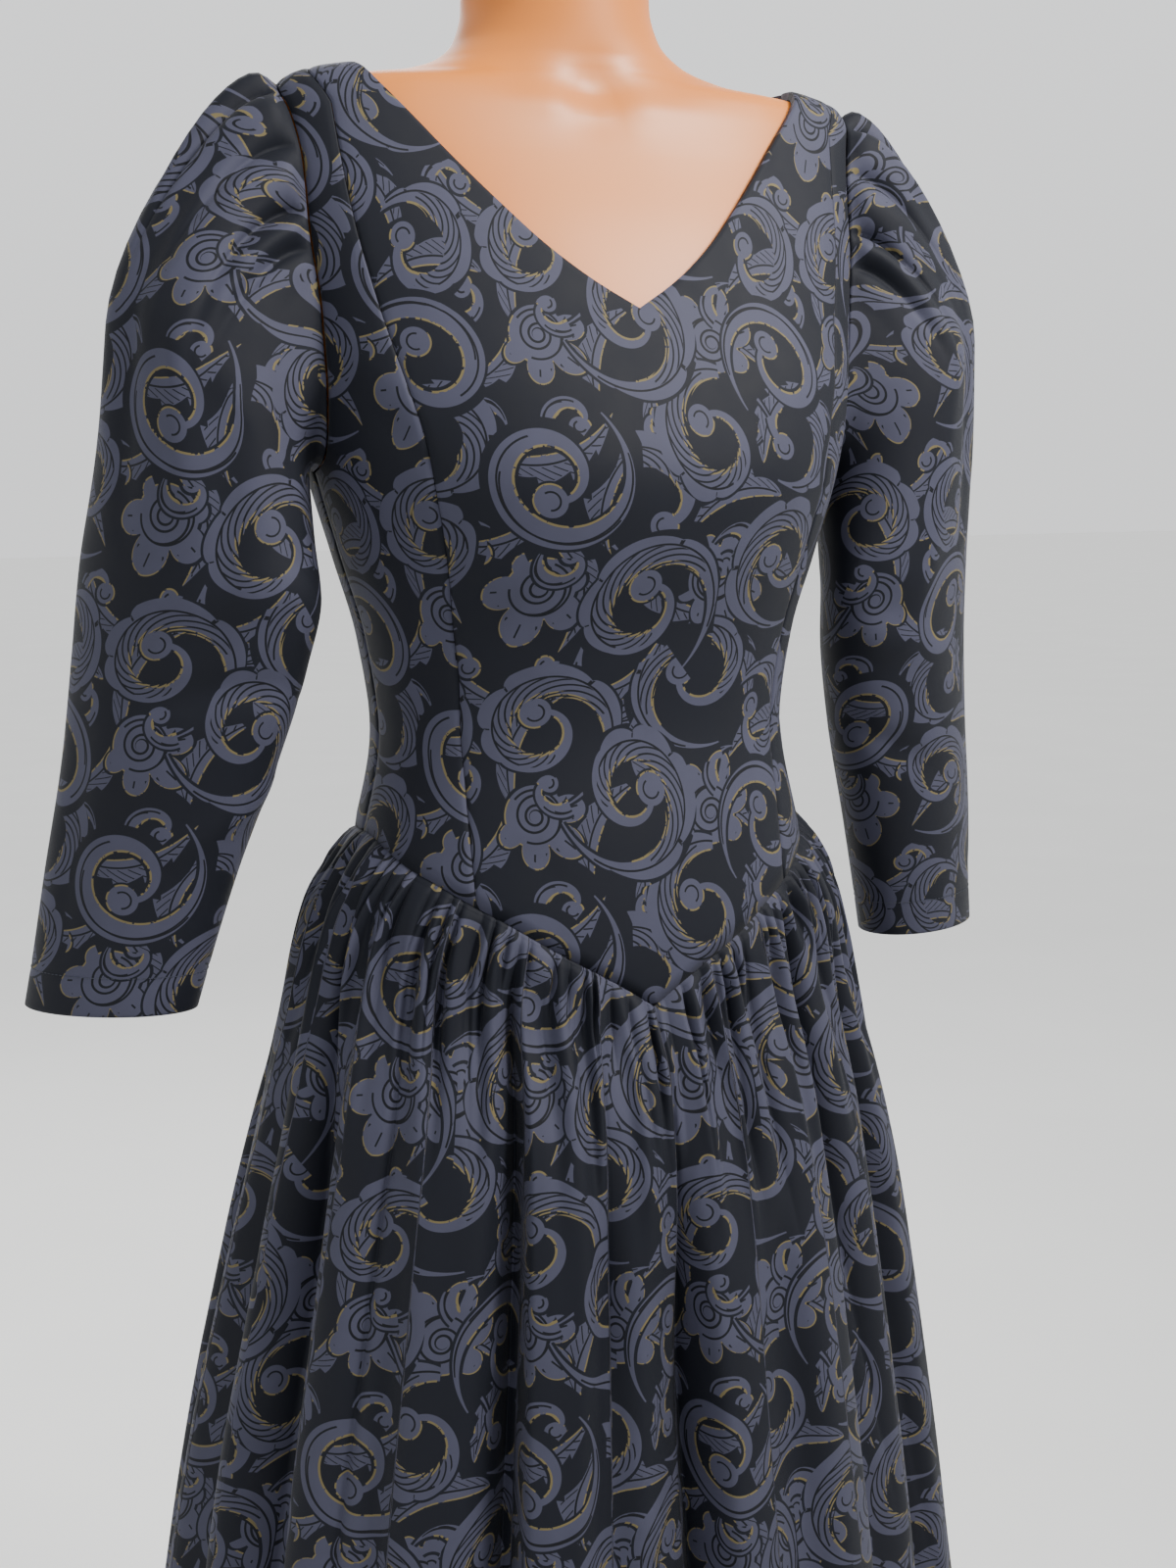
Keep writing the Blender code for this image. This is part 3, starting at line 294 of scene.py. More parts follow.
def level_point(x, height, facing):
    """A point of the skin at a given x and height, at the front (facing -1) or the back (+1)."""
    power = squareness_at(height)
    side = side_at(height)
    depth = front_at(height) + side if facing < 0 else back_at(height) - side
    reach = np.clip(np.abs(x) / half_width_at(height), 0.0, 1.0)
    return np.array([x, side + facing * depth * (1 - reach ** power) ** (1 / power), height])


def beside_point(y, height):
    """A point of the skin at the left side, at a given y and height."""
    power = squareness_at(height)
    side = side_at(height)
    depth = front_at(height) + side if y < side else back_at(height) - side
    reach = min(abs(y - side) / depth, 1.0)
    return np.array([half_width_at(height) * (1 - reach ** power) ** (1 / power), y, height])


def shoulder_point(x):
    """The point of the shoulder seam at a given x."""
    low, high = 1.37, 1.42
    for _ in range(40):
        middle = (low + high) / 2
        if half_width_at(middle) > x:
            low = middle
        else:
            high = middle
    return np.array([x, float(side_at(low)), low])


waist_front_at = table_curve(WAIST_FRONT, "height", "x")
waist_back_at = table_curve(WAIST_BACK, "height", "x")


def waist_point(turn):
    """A point of the waist seam."""
    angle = math.radians(turn)
    x = float(half_width_at(WAIST_SIDE_HEIGHT)) * math.sin(angle)
    if math.cos(angle) >= 0:
        return level_point(x, float(waist_front_at(abs(x))), -1)
    return level_point(x, float(waist_back_at(abs(x))), 1)


def waist_line(start, end, count):
    return np.array([waist_point(turn) for turn in np.linspace(start, end, count + 1)])


# ---- Sheets of cloth -----------------------------------------------------------------------------

sheet_rows = {}           # the grids of points that the sheets are made of


def cloth_sheet(name, rows, maps):
    """A sheet through a grid of points that run from the top edge down and leftwards round the figure."""
    sheet_rows[name] = rows
    down, across = rows.shape[:2]
    index = np.arange(down * across, dtype=np.int32).reshape(down, across)
    quads = np.stack([index[:-1, :-1], index[1:, :-1], index[1:, 1:], index[:-1, 1:]], axis=-1).reshape(-1, 4)
    mesh = bpy.data.meshes.new(name)
    mesh.from_pydata(rows.reshape(-1, 3).tolist(), [], quads.tolist())
    layer = mesh.uv_layers.new(name="Cloth")
    layer.data.foreach_set("uv", maps.reshape(-1, 2)[quads.ravel()].astype(np.float32).ravel())
    mesh.shade_smooth()
    thing = bpy.data.objects.new(name, mesh)
    bpy.context.scene.collection.objects.link(thing)
    return thing


def lengths_across(rows):
    """How far each point of a grid lies along its row."""
    steps = np.linalg.norm(np.diff(rows, axis=1), axis=-1)
    return np.concatenate([np.zeros((len(rows), 1)), np.cumsum(steps, axis=1)], axis=1)


def laid_flat(rows, middle, offset, upright=False):
    """Map of a sheet: lengths along its rows from column `middle`, and down that column.

    In an upright map the print stands level and plumb on the piece, whatever way its rows slant.
    """
    flat = rows * np.array([1.0, 1.0, 0.0]) if upright else rows
    across = lengths_across(flat)
    across -= across[:, middle:middle + 1]
    steps = np.linalg.norm(np.diff(rows[:, middle], axis=0), axis=-1)
    down = np.concatenate([[0.0], np.cumsum(steps)])
    if upright:
        heights = rows[:, middle, 2]
        fallen = np.interp(rows[..., 2], heights[::-1], down[::-1])
        beyond = np.maximum(rows[..., 2] - heights[0], 0.0) - np.maximum(heights[-1] - rows[..., 2], 0.0)
        down = fallen - beyond
    else:
        down = np.broadcast_to(down[:, None], across.shape)
    return np.stack([across + offset[0], offset[1] - down], axis=-1)


Crease = namedtuple("Crease", "x1 height1 x2 height2 facing rise half_width")
BODICE_CREASES = (
    Crease(-0.150, 1.235, -0.112, 1.190, -1, -0.0011, 0.0050),
    Crease(-0.148, 1.255, -0.120, 1.225, -1, 0.0009, 0.0050),
    Crease(0.150, 1.236, 0.118, 1.196, -1, -0.0010, 0.0045),
    Crease(0.149, 1.262, 0.125, 1.236, -1, 0.0008, 0.0050),
    Crease(-0.120, 1.045, -0.070, 1.018, -1, -0.0008, 0.0060),
    Crease(0.118, 1.052, 0.072, 1.032, -1, -0.0008, 0.0055),
    Crease(0.085, 1.100, 0.040, 1.086, -1, 0.0006, 0.0080),
    Crease(-0.080, 0.992, -0.046, 0.962, -1, -0.0007, 0.0055),
    Crease(0.066, 0.985, 0.040, 0.950, -1, -0.0006, 0.0055),
    Crease(-0.150, 1.225, -0.118, 1.160, 1, -0.0012, 0.0060),
    Crease(0.150, 1.230, 0.122, 1.172, 1, -0.0011, 0.0060),
    Crease(-0.110, 1.060, -0.045, 1.044, 1, -0.0012, 0.0070),
    Crease(0.112, 1.072, 0.050, 1.052, 1, -0.0010, 0.0065),
    Crease(-0.020, 1.040, 0.055, 1.030, 1, 0.0008, 0.0080),
    Crease(0.140, 1.330, 0.085, 1.300, 1, 0.0008, 0.0090),
    Crease(-0.136, 1.335, -0.090, 1.290, 1, 0.0008, 0.0090),
)


def creased(points):
    """How far the soft creases of the bodice raise each point."""
    rise = np.zeros(points.shape[:-1])
    for crease in BODICE_CREASES:
        start = np.array([crease.x1, crease.height1])
        run = np.array([crease.x2, crease.height2]) - start
        away = points[..., (0, 2)] - start
        along = np.clip(away @ run / (run @ run), 0.0, 1.0)
        distance = np.linalg.norm(away - along[..., None] * run, axis=-1)
        fade = np.sin(np.pi * np.clip(0.12 + 0.76 * along, 0.0, 1.0))
        same_side = ease_in(crease.facing * (points[..., 1] - 0.002) / 0.01)
        rise += crease.rise * fade * same_side * hump(distance / crease.half_width)
    return rise


# ---- Bodice --------------------------------------------------------------------------------------

def patch(bottom, top, right, left, crowding=1.0):
    """A grid of points between four edges that share their corners. Rows run bottom to top."""
    u = np.linspace(0.0, 1.0, len(bottom))[None, :, None]
    v = (1.0 - np.linspace(1.0, 0.0, len(right)) ** crowding)[:, None, None]
    ruled_up = (1 - v) * bottom[None] + v * top[None]
    ruled_across = (1 - u) * right[:, None] + u * left[:, None]
    corners = ((1 - v) * (1 - u) * bottom[0] + (1 - v) * u * bottom[-1]
               + v * (1 - u) * top[0] + v * u * top[-1])
    return on_figure(ruled_up + ruled_across - corners)[0]


def trimmed(grid):
    """The grid with its four edges drawn in from the seam lines."""
    grid = grid.copy()
    for edge, neighbour in ((0, 1), (-1, -2)):
        step = grid[neighbour] - grid[edge]
        grid[edge] += SEAM_TRIM * step / np.linalg.norm(step, axis=-1, keepdims=True)
    for edge, neighbour in ((0, 1), (-1, -2)):
        step = grid[:, neighbour] - grid[:, edge]
        grid[:, edge] += SEAM_TRIM * step / np.linalg.norm(step, axis=-1, keepdims=True)
    return grid


def mirrored(grid):
    """The same piece for the other side."""
    return grid[:, ::-1] * np.array([-1.0, 1.0, 1.0])


def edge_distance(grid):
    """How far each point of a grid lies from the nearest of its four edges."""
    across = lengths_across(grid)
    down = lengths_across(grid.transpose(1, 0, 2)).T
    return np.minimum(np.minimum(across, across[:, -1:] - across), np.minimum(down, down[-1:] - down))


def bodice_sheet(name, grid, offset):
    """A panel of the bodice with its edges pressed down and turned in."""
    grid = trimmed(grid)[::-1]
    skin, outward = on_figure(grid)
    lift = EASE + CLOTH + creased(skin) - 0.0007 * hump(edge_distance(skin) / 0.0022)
    rows = skin + lift[..., None] * outward
    maps = laid_flat(rows, rows.shape[1] // 2, offset, upright=True)
    rows = np.pad(rows, ((2, 2), (2, 2), (0, 0)), mode="edge")
    maps = np.pad(maps, ((2, 2), (2, 2), (0, 0)), mode="edge")
    outward = np.pad(outward, ((2, 2), (2, 2), (0, 0)), mode="edge")
    sunk = np.zeros(rows.shape[:2])
    sunk[1], sunk[-2], sunk[:, 1], sunk[:, -2] = (EDGE_ROUNDING,) * 4
    sunk[0], sunk[:, 0], sunk[:, -1] = (EDGE_TURNED,) * 3
    sunk[-1] = WAIST_TURNED
    return cloth_sheet(name, rows - sunk[..., None] * outward, maps)


def shoulder_seam(from_x, to_x, count):
    return np.array([shoulder_point(x) for x in np.linspace(from_x, to_x, count + 1)])


def princess_seam():
    """From the waist seam up to the shoulder seam, on the left side."""
    x_at = table_curve(PRINCESS, "x", "height")
    heights = np.linspace(PRINCESS[0].height, PRINCESS[-1].height, 60)
    points = [waist_point(PRINCESS_TURN)]
    points += [level_point(float(x_at(height)), float(height), -1) for height in heights]
    points.append(shoulder_point(SHOULDER_SPLIT_X))
    return spread(points, BODY_ROWS, SHOULDER_CROWDING)


def armhole(rows):
    """Half the left armhole, from the shoulder tip down to the underarm."""
    low = beside_point(float(side_at(UNDERARM_HEIGHT)), UNDERARM_HEIGHT)
    points = [shoulder_point(SHOULDER_TIP_X)]
    points += [beside_point(row.y, row.height) for row in rows]
    points.append(low)
    bends = np.concatenate([[0.0], np.cumsum(np.linalg.norm(np.diff(points, axis=0), axis=1))])
    along = np.linspace(0.0, bends[-1], 80)
    return np.stack([smooth_curve(bends, [point[axis] for point in points])(along) for axis in range(3)], axis=1)


def hole_edge(rows):
    """Half the armhole as the bodice has it, from the underarm up to the shoulder tip."""
    return spread(armhole(rows)[::-1], HOLE_ROWS, SHOULDER_CROWDING)


def side_edge(rows):
    """Up the left side seam and on round half the armhole to the shoulder tip."""
    heights = np.linspace(waist_point(90.0)[2], UNDERARM_HEIGHT, 60)
    seam = spread([beside_point(float(side_at(h)), float(h)) for h in heights], SIDE_ROWS)
    return chain(seam, hole_edge(rows))


def neck_edge(rows, facing, count):
    """From the centre out to the shoulder seam on the left side."""
    height_at = table_curve(rows, "height", "x")
    across = np.linspace(0.0, rows[-1].x, 60)
    points = [level_point(float(x), float(height_at(x)), facing) for x in across]
    points.append(shoulder_point(NECK_X))
    return spread(points, count, SHOULDER_CROWDING)


def centre_front_grid():
    count = 2 * (STRAP_COLUMNS + FRONT_NECK_COLUMNS)
    left_top = chain(
        neck_edge(NECK_FRONT, -1, FRONT_NECK_COLUMNS),
        shoulder_seam(NECK_X, SHOULDER_SPLIT_X, STRAP_COLUMNS),
    )
    mirror = np.array([-1.0, 1.0, 1.0])
    seam = princess_seam()
    bottom = waist_line(-PRINCESS_TURN, PRINCESS_TURN, count)
    return patch(bottom, chain(left_top[::-1] * mirror, left_top), seam * mirror, seam, SHOULDER_CROWDING)


def side_front_grid():
    bottom = waist_line(PRINCESS_TURN, 90.0, SIDE_FRONT_COLUMNS)
    top = shoulder_seam(SHOULDER_SPLIT_X, SHOULDER_TIP_X, SIDE_FRONT_COLUMNS)
    return patch(bottom, top, princess_seam(), side_edge(ARMHOLE_FRONT))


def back_grid():
    """The left back, from the side seam round to the centre back."""
    heights = np.linspace(waist_point(180.0)[2], NECK_BACK[0].height, 60)
    seam = spread([level_point(0.0, float(height), 1) for height in heights], BODY_ROWS, SHOULDER_CROWDING)
    top = chain(
        shoulder_seam(SHOULDER_TIP_X, SHOULDER_SPLIT_X, STRAP_COLUMNS),
        shoulder_seam(SHOULDER_SPLIT_X, NECK_X, STRAP_COLUMNS),
        neck_edge(NECK_BACK, 1, BACK_NECK_COLUMNS)[::-1],
    )
    bottom = waist_line(90.0, 180.0, 2 * STRAP_COLUMNS + BACK_NECK_COLUMNS)
    return patch(bottom, top, side_edge(ARMHOLE_BACK), seam)


# ---- Sleeves -------------------------------------------------------------------------------------

def armhole_loop(angles):
    """Points of the left armhole, level with the bodice's outer face."""
    halves = []
    for table in (ARMHOLE_FRONT, ARMHOLE_BACK):
        skin, outward = on_figure(hole_edge(table)[::-1])
        halves.append(spread(skin + (EASE + CLOTH) * outward, 720))
    wrapped = (angles + 180.0) % 360.0 - 180.0
    place = np.round(np.abs(wrapped) * 4).astype(int)
    return np.where((wrapped >= 0)[:, None], halves[0][place], halves[1][place])


def sleeve_cut(cut, angles):
    """One section of the left sleeve."""
    turned = math.radians(cut.turned)
    around = np.radians(angles) + turned
    along_wide = cut.wide * np.cos(around)
    along_narrow = -cut.narrow * np.sin(around)
    x = along_wide * math.cos(turned) - along_narrow * math.sin(turned)
    y = along_wide * math.sin(turned) + along_narrow * math.cos(turned)
    return np.stack([cut.x + x, cut.y + y, cut.height + cut.slant * x], axis=-1)


def sleeve_tube(angles):
    """The left sleeve before its pleats: a head that leaves the armhole, then the level cuts."""
    edge = armhole_loop(angles)
    edge[:, 0] += 2 * SEAM_TRIM
    under = 0.5 - 0.5 * np.cos(np.radians(angles))
    edge[:, 2] += 0.0006 * under
    cuts = [sleeve_cut(cut, angles) for cut in SLEEVE_CUTS]
    start_pull = np.stack([0.079 - 0.061 * under, 0 * under, 0.040 - 0.032 * under], axis=-1)
    end_pull = (cuts[1] - cuts[0]) * (1.9 - 1.2 * under)[:, None]
    rows = []
    for t in SLEEVE_HEAD_STEPS:
        rows.append((2 * t ** 3 - 3 * t ** 2 + 1) * edge + (t ** 3 - 2 * t ** 2 + t) * start_pull
                    + (3 * t ** 2 - 2 * t ** 3) * cuts[0] + (t ** 3 - t ** 2) * end_pull)
    drops = [0.0]
    heights = [cut.height for cut in SLEEVE_CUTS]
    for upper, lower in zip(heights, heights[1:]):
        drops.append(drops[-1] + upper - lower)
    fine = np.concatenate([np.arange(0.0, drops[-1], 0.0042), [drops[-1]]])
    stacked = np.array(cuts)
    body = np.empty((len(fine),) + stacked.shape[1:])
    for column in range(stacked.shape[1]):
        for axis in range(3):
            body[:, column, axis] = smooth_curve(drops, stacked[:, column, axis])(fine)
    return np.concatenate([np.array(rows), body])


# Soft folds of a sleeve. Angles run round the arm from over the top towards the front, and shares run from
# the armhole to the cuff.
SleeveFold = namedtuple("SleeveFold", "angle1 share1 angle2 share2 rise half_width")
RIGHT_SLEEVE_FOLDS = (
    SleeveFold(-38.0, 0.02, -20.0, 0.34, -0.0040, 9.0),
    SleeveFold(-12.0, 0.02, 4.0, 0.42, 0.0030, 11.0),
    SleeveFold(20.0, 0.02, 26.0, 0.50, -0.0034, 10.0),
    SleeveFold(52.0, 0.04, 60.0, 0.40, 0.0030, 10.0),
    SleeveFold(88.0, 0.20, 70.0, 0.62, -0.0030, 12.0),
    SleeveFold(130.0, 0.30, 60.0, 0.52, 0.0026, 12.0),
    SleeveFold(150.0, 0.42, 40.0, 0.66, -0.0028, 12.0),
    SleeveFold(160.0, 0.56, 80.0, 0.80, 0.0022, 13.0),
    SleeveFold(-60.0, 0.40, -120.0, 0.60, -0.0026, 13.0),
    SleeveFold(-140.0, 0.30, -80.0, 0.50, 0.0024, 13.0),
    SleeveFold(10.0, 0.66, 30.0, 0.96, -0.0020, 14.0),
)
LEFT_SLEEVE_FOLDS = (
    SleeveFold(-44.0, 0.02, -30.0, 0.36, 0.0032, 10.0),
    SleeveFold(-18.0, 0.02, -8.0, 0.30, -0.0036, 9.0),
    SleeveFold(12.0, 0.02, 16.0, 0.44, 0.0030, 11.0),
    SleeveFold(40.0, 0.03, 48.0, 0.48, -0.0036, 10.0),
    SleeveFold(70.0, 0.10, 86.0, 0.52, 0.0028, 12.0),
    SleeveFold(140.0, 0.28, 96.0, 0.50, -0.0028, 12.0),
    SleeveFold(150.0, 0.36, 60.0, 0.62, 0.0026, 12.0),
    SleeveFold(166.0, 0.50, 70.0, 0.78, -0.0030, 12.0),
    SleeveFold(-70.0, 0.36, -130.0, 0.58, -0.0026, 13.0),
    SleeveFold(-20.0, 0.60, 20.0, 0.92, 0.0020, 14.0),
)
SLEEVE_PUCKERS = 8
PLEAT_HEIGHT = 0.0058
PLEATED_ANGLE = 96.0      # the pleats reach this far either way from over the top
PLEATED_SHARE = 0.20      # and this far down the sleeve


def sleeve_lift(angles, shares, folds):
    """How far the puckers of the head and the soft folds raise a sleeve."""
    wrapped = (angles + 180.0) % 360.0 - 180.0
    uneven = wrapped + 3.0 * np.sin(np.radians(wrapped) * 5.3) + 2.0 * np.sin(np.radians(wrapped) * 9.1 + 1.0)
    over_top = ease_in((PLEATED_ANGLE - np.abs(wrapped)) / 26.0)
    fade = ease_in(shares / 0.022) * (1.0 - ease_in(shares / (PLEATED_SHARE + 0.07 * np.sin(wrapped * 0.21))))
    puckers = 2.0 * np.abs(np.cos(np.radians(uneven) * SLEEVE_PUCKERS)) ** 0.8 - 1.0
    lift = PLEAT_HEIGHT * (1.0 + 0.25 * np.sin(wrapped * 0.13 + 0.6)) * puckers * over_top * fade
    for fold in folds:
        run = fold.share2 - fold.share1
        along = np.clip((shares - fold.share1) / run, 0.0, 1.0)
        centre = fold.angle1 + (fold.angle2 - fold.angle1) * along
        away = (wrapped - centre + 180.0) % 360.0 - 180.0
        reach = np.sin(np.pi * np.clip((shares - fold.share1) / run, 0.0, 1.0)) ** 0.6
        lift += fold.rise * reach * hump(away / fold.half_width)
    return lift


def sleeve_map(rows, offset):
    """Map of a sleeve as it is cut: plumb down each column from a curved cap, whose pleats take up the fullness."""
    across = lengths_across(rows)
    across -= across[:, SLEEVE_COLUMNS // 2][:, None]
    head = len(SLEEVE_HEAD_STEPS)
    across[:head] = across[head]
    fallen = lengths_across(rows.transpose(1, 0, 2)).T
    up = fallen[-1:] - fallen
    return np.stack([across + offset[0], offset[1] + up - up[0, SLEEVE_COLUMNS // 2]], axis=-1)


def sleeve_sheet(name, side, folds, offset):
    """A sleeve with its seam under the arm and its cuff turned in."""
    angles = np.linspace(-180.0, 180.0, SLEEVE_COLUMNS + 1)
    tube = sleeve_tube(angles)
    down = np.gradient(tube, axis=0)
    around = np.gradient(tube, axis=1)
    ends = tube[:, 1] - tube[:, -2]
    around[:, 0], around[:, -1] = ends / 2, ends / 2
    outward = np.cross(around, down)
    outward /= np.linalg.norm(outward, axis=-1, keepdims=True)
    lengths = lengths_across(tube.transpose(1, 0, 2)).T
    shares = lengths / lengths[-1:]
    rows = tube + sleeve_lift(angles[None], shares, folds)[..., None] * outward
    hem_line = hump((lengths[-1:] - lengths - 0.024) / 0.0012)
    rows -= 0.0004 * hem_line[..., None] * outward
    maps = sleeve_map(rows, offset)
    inside = []
    inside_maps = []
    rise = (rows[-3] - rows[-1]) / np.linalg.norm(rows[-3] - rows[-1], axis=-1, keepdims=True)
    for inward, up in ((0.0006, -0.0004), (0.0013, 0.0002), (0.0014, 0.004), (0.0014, TURNING)):
        inside.append(rows[-1] - inward * outward[-1] + up * rise)
        inside_maps.append(maps[-1] - np.array([0.0, abs(up)]))
    rows = np.concatenate([rows, np.array(inside)])
    maps = np.concatenate([maps, np.array(inside_maps)])
    tuck = rows[0] - 0.0040 * outward[0] - np.array([0.0010, 0.0, 0.0])
    rows = np.concatenate([tuck[None], rows])
    maps = np.concatenate([maps[:1], maps])
    if side > 0:
        rows, maps = rows[:, ::-1], maps[:, ::-1]
    else:
        rows = rows * np.array([-1.0, 1.0, 1.0])
    return cloth_sheet(name, rows, maps)


# ---- Skirt ---------------------------------------------------------------------------------------

skirt_half_width_at = table_curve(SKIRT_LEVELS, "half_width", "height")
skirt_front_at = table_curve(SKIRT_LEVELS, "front", "height")
skirt_back_at = table_curve(SKIRT_LEVELS, "back", "height")
skirt_middle_at = table_curve(SKIRT_LEVELS, "middle", "height")
SKIRT_ROWS = 112


def skirt_depth(height, front):
    """The reach of a level section from its widest line."""
    middle = skirt_middle_at(height)
    return np.where(front, skirt_front_at(height) + middle, skirt_back_at(height) - middle)


def skirt_turn(point):
    """The turn at which a point lies on the skirt's level sections."""
    away = point[1] - float(skirt_middle_at(point[2]))
    depth = float(skirt_depth(point[2], away < 0))
    return math.atan2(point[0] / float(skirt_half_width_at(point[2])), -away / depth)


def skirt_level_points(turn, height):
    depth = skirt_depth(height, np.cos(turn) > 0)
    x = skirt_half_width_at(height) * np.sin(turn)
    y = skirt_middle_at(height) - depth * np.cos(turn)
    return np.stack(np.broadcast_arrays(x, y, height), axis=-1)


def skirt_outward(turn, height):
    """The level directions square to the skirt."""
    depth = skirt_depth(height, np.cos(turn) > 0)
    x = np.sin(turn) / skirt_half_width_at(height)
    y = -np.cos(turn) / depth
    direction = np.stack(np.broadcast_arrays(x, y, 0.0 * height), axis=-1)
    return direction / np.linalg.norm(direction, axis=-1, keepdims=True)


def gather_lift(place, drop):
    """The small gathers: place counts them round the waist, drop is the way down from the seam."""
    place = place + 0.28 * np.sin(place * 1.31) + 0.16 * np.sin(place * 2.87 + 0.8)
    unevenness = 1.0 + 0.42 * np.sin(place * 1.9) + 0.28 * np.sin(place * 0.73 + 1.0)
    reach = 0.066 + 0.030 * np.sin(place * 0.41) + 0.016 * np.sin(place * 2.3)
    small = (0.0012 + 0.0026 * ease_in(drop / 0.016)) * (1.0 - ease_in((drop - 0.008) / reach))
    pucker = 2.0 * np.abs(np.sin(np.pi * place)) ** 0.65 - 1.0
    paired = 0.0034 * ease_in((drop - 0.004) / 0.04) * (1.0 - ease_in((drop - 0.05) / 0.13))
    return small * unevenness * pucker + paired * np.cos(np.pi * place + 0.6 * np.sin(place * 0.37))


def soft_ripples(turn, drop, share):
    """Slight unevenness of the broad panels between the folds."""
    grown = ease_in((drop - 0.05) / 0.20)
    wide = 0.0026 * np.sin(13.0 * turn + 1.7 * np.sin(3.0 * turn) + 2.2 * share)
    narrow = 0.0008 * np.sin(37.0 * turn + 2.3 * np.sin(5.0 * turn + 1.0) - 1.6 * share)
    return grown * (wide + narrow)


def fold_sink(turn, drop, share):
    """How deep the large folds draw the skirt in."""
    sink = 0.0
    degrees = np.degrees(turn)
    for fold in FOLDS:
        away = (degrees - fold.turn - fold.drift * share + 180.0) % 360.0 - 180.0
        width = fold.half_width * (0.42 + 0.58 * share)
        width = width * (1.0 - fold.lean * np.tanh(away / width))
        grown = ease_in((drop - fold.start) / 0.18) * (0.74 + 0.38 * share)
        sink = sink + fold.depth * grown * hump(away / width)
    return sink


# Sharp creases of the skirt: where each starts and ends below the seam, how far it drifts round on the way,
# and how deep and wide it is.
SkirtCrease = namedtuple("SkirtCrease", "turn drift start end depth half_width")
SKIRT_CREASES = (
    SkirtCrease(-62.0, -3.0, 0.02, 0.14, 0.0050, 1.8), SkirtCrease(-50.5, -2.0, 0.02, 0.50, 0.0080, 2.0),
    SkirtCrease(-43.0, 1.0, 0.01, 0.10, 0.0045, 1.4), SkirtCrease(-36.5, 0.5, 0.01, 0.13, 0.0045, 1.4),
    SkirtCrease(-28.0, 0.5, 0.01, 0.70, 0.0100, 1.3), SkirtCrease(-22.5, 1.0, 0.01, 0.09, 0.0045, 1.2),
    SkirtCrease(-17.0, 2.0, 0.01, 0.12, 0.0045, 1.3), SkirtCrease(-12.0, -0.5, 0.02, 0.24, 0.0055, 1.5),
    SkirtCrease(-6.0, 2.5, 0.01, 0.10, 0.0050, 1.3), SkirtCrease(0.0, 5.0, 0.02, 0.80, 0.0120, 1.6),
    SkirtCrease(6.0, 2.0, 0.01, 0.09, 0.0045, 1.3), SkirtCrease(12.0, 3.0, 0.01, 0.13, 0.0050, 1.4),
    SkirtCrease(19.0, 2.0, 0.01, 0.17, 0.0050, 1.5), SkirtCrease(26.0, 3.0, 0.01, 0.10, 0.0045, 1.4),
    SkirtCrease(33.5, 6.0, 0.01, 0.34, 0.0090, 1.6), SkirtCrease(43.0, 3.0, 0.01, 0.12, 0.0050, 1.6),
    SkirtCrease(53.0, 2.0, 0.02, 0.50, 0.0085, 1.8), SkirtCrease(64.0, -2.0, 0.01, 0.14, 0.0050, 1.8),
    SkirtCrease(76.0, 2.0, 0.02, 0.55, 0.0080, 1.8), SkirtCrease(87.0, 1.0, 0.01, 0.13, 0.0050, 1.6),
    SkirtCrease(99.0, -2.0, 0.02, 0.36, 0.0065, 1.7), SkirtCrease(113.0, 2.0, 0.02, 0.66, 0.0095, 1.7),
    SkirtCrease(126.0, 1.0, 0.01, 0.12, 0.0050, 1.5), SkirtCrease(139.0, -2.0, 0.03, 0.48, 0.0080, 1.7),
    SkirtCrease(149.0, 1.0, 0.01, 0.13, 0.0050, 1.5), SkirtCrease(160.0, 1.0, 0.02, 0.60, 0.0085, 1.7),
    SkirtCrease(171.0, -1.0, 0.01, 0.11, 0.0045, 1.4), SkirtCrease(-170.0, -1.0, 0.02, 0.55, 0.0085, 1.7),
    SkirtCrease(-159.0, 2.0, 0.01, 0.12, 0.0050, 1.5), SkirtCrease(-147.0, 1.0, 0.03, 0.40, 0.0075, 1.7),
    SkirtCrease(-128.0, -1.0, 0.02, 0.66, 0.0095, 1.7), SkirtCrease(-117.0, 2.0, 0.01, 0.13, 0.0050, 1.6),
    SkirtCrease(-105.0, 2.0, 0.03, 0.44, 0.0075, 1.8), SkirtCrease(-95.0, 1.0, 0.01, 0.12, 0.0050, 1.6),
    SkirtCrease(-84.0, 3.0, 0.02, 0.30, 0.0065, 1.7), SkirtCrease(-72.0, 4.0, 0.02, 0.55, 0.0085, 1.8),
)


def crease_sink(turn, drop):
    sink = 0.0
    degrees = np.degrees(turn)
    for crease in SKIRT_CREASES:
        along = np.clip((drop - crease.start) / (crease.end - crease.start), 0.0, 1.4)
        away = (degrees - crease.turn - crease.drift * along + 180.0) % 360.0 - 180.0
        strength = ease_in((drop - crease.start) / 0.05) * (1.0 - ease_in((along - 0.55) / 0.7))
        width = crease.half_width * (0.55 + 0.75 * along)
        sink = sink + crease.depth * strength * np.exp(-np.abs(away) / width)
    return sink


def skirt_maps(rows, places, cloth_per_gather, anchors, offset):
    """Map of a skirt panel: each broad panel keeps its print true, and the folds between take up the rest."""
    across = lengths_across(rows * np.array([1.0, 1.0, 0.0]))
    columns = np.array([int(np.argmin(np.abs(places - anchor))) for anchor in anchors])
    wanted = places[columns] * cloth_per_gather
    u = np.empty_like(across)
    for k, column in enumerate(columns):
        first = 0 if k == 0 else (columns[k - 1] + column) // 2
        last = across.shape[1] if k == len(columns) - 1 else (column + columns[k + 1]) // 2
        u[:, first:last] = wanted[k] + across[:, first:last] - across[:, column:column + 1]
    slope = np.linalg.norm(np.diff(rows, axis=0), axis=-1).sum() / -np.diff(rows[..., 2], axis=0).sum()
    v = (rows[..., 2] - WAIST_SIDE_HEIGHT) * slope
    return np.stack([u + offset[0], v + offset[1]], axis=-1)


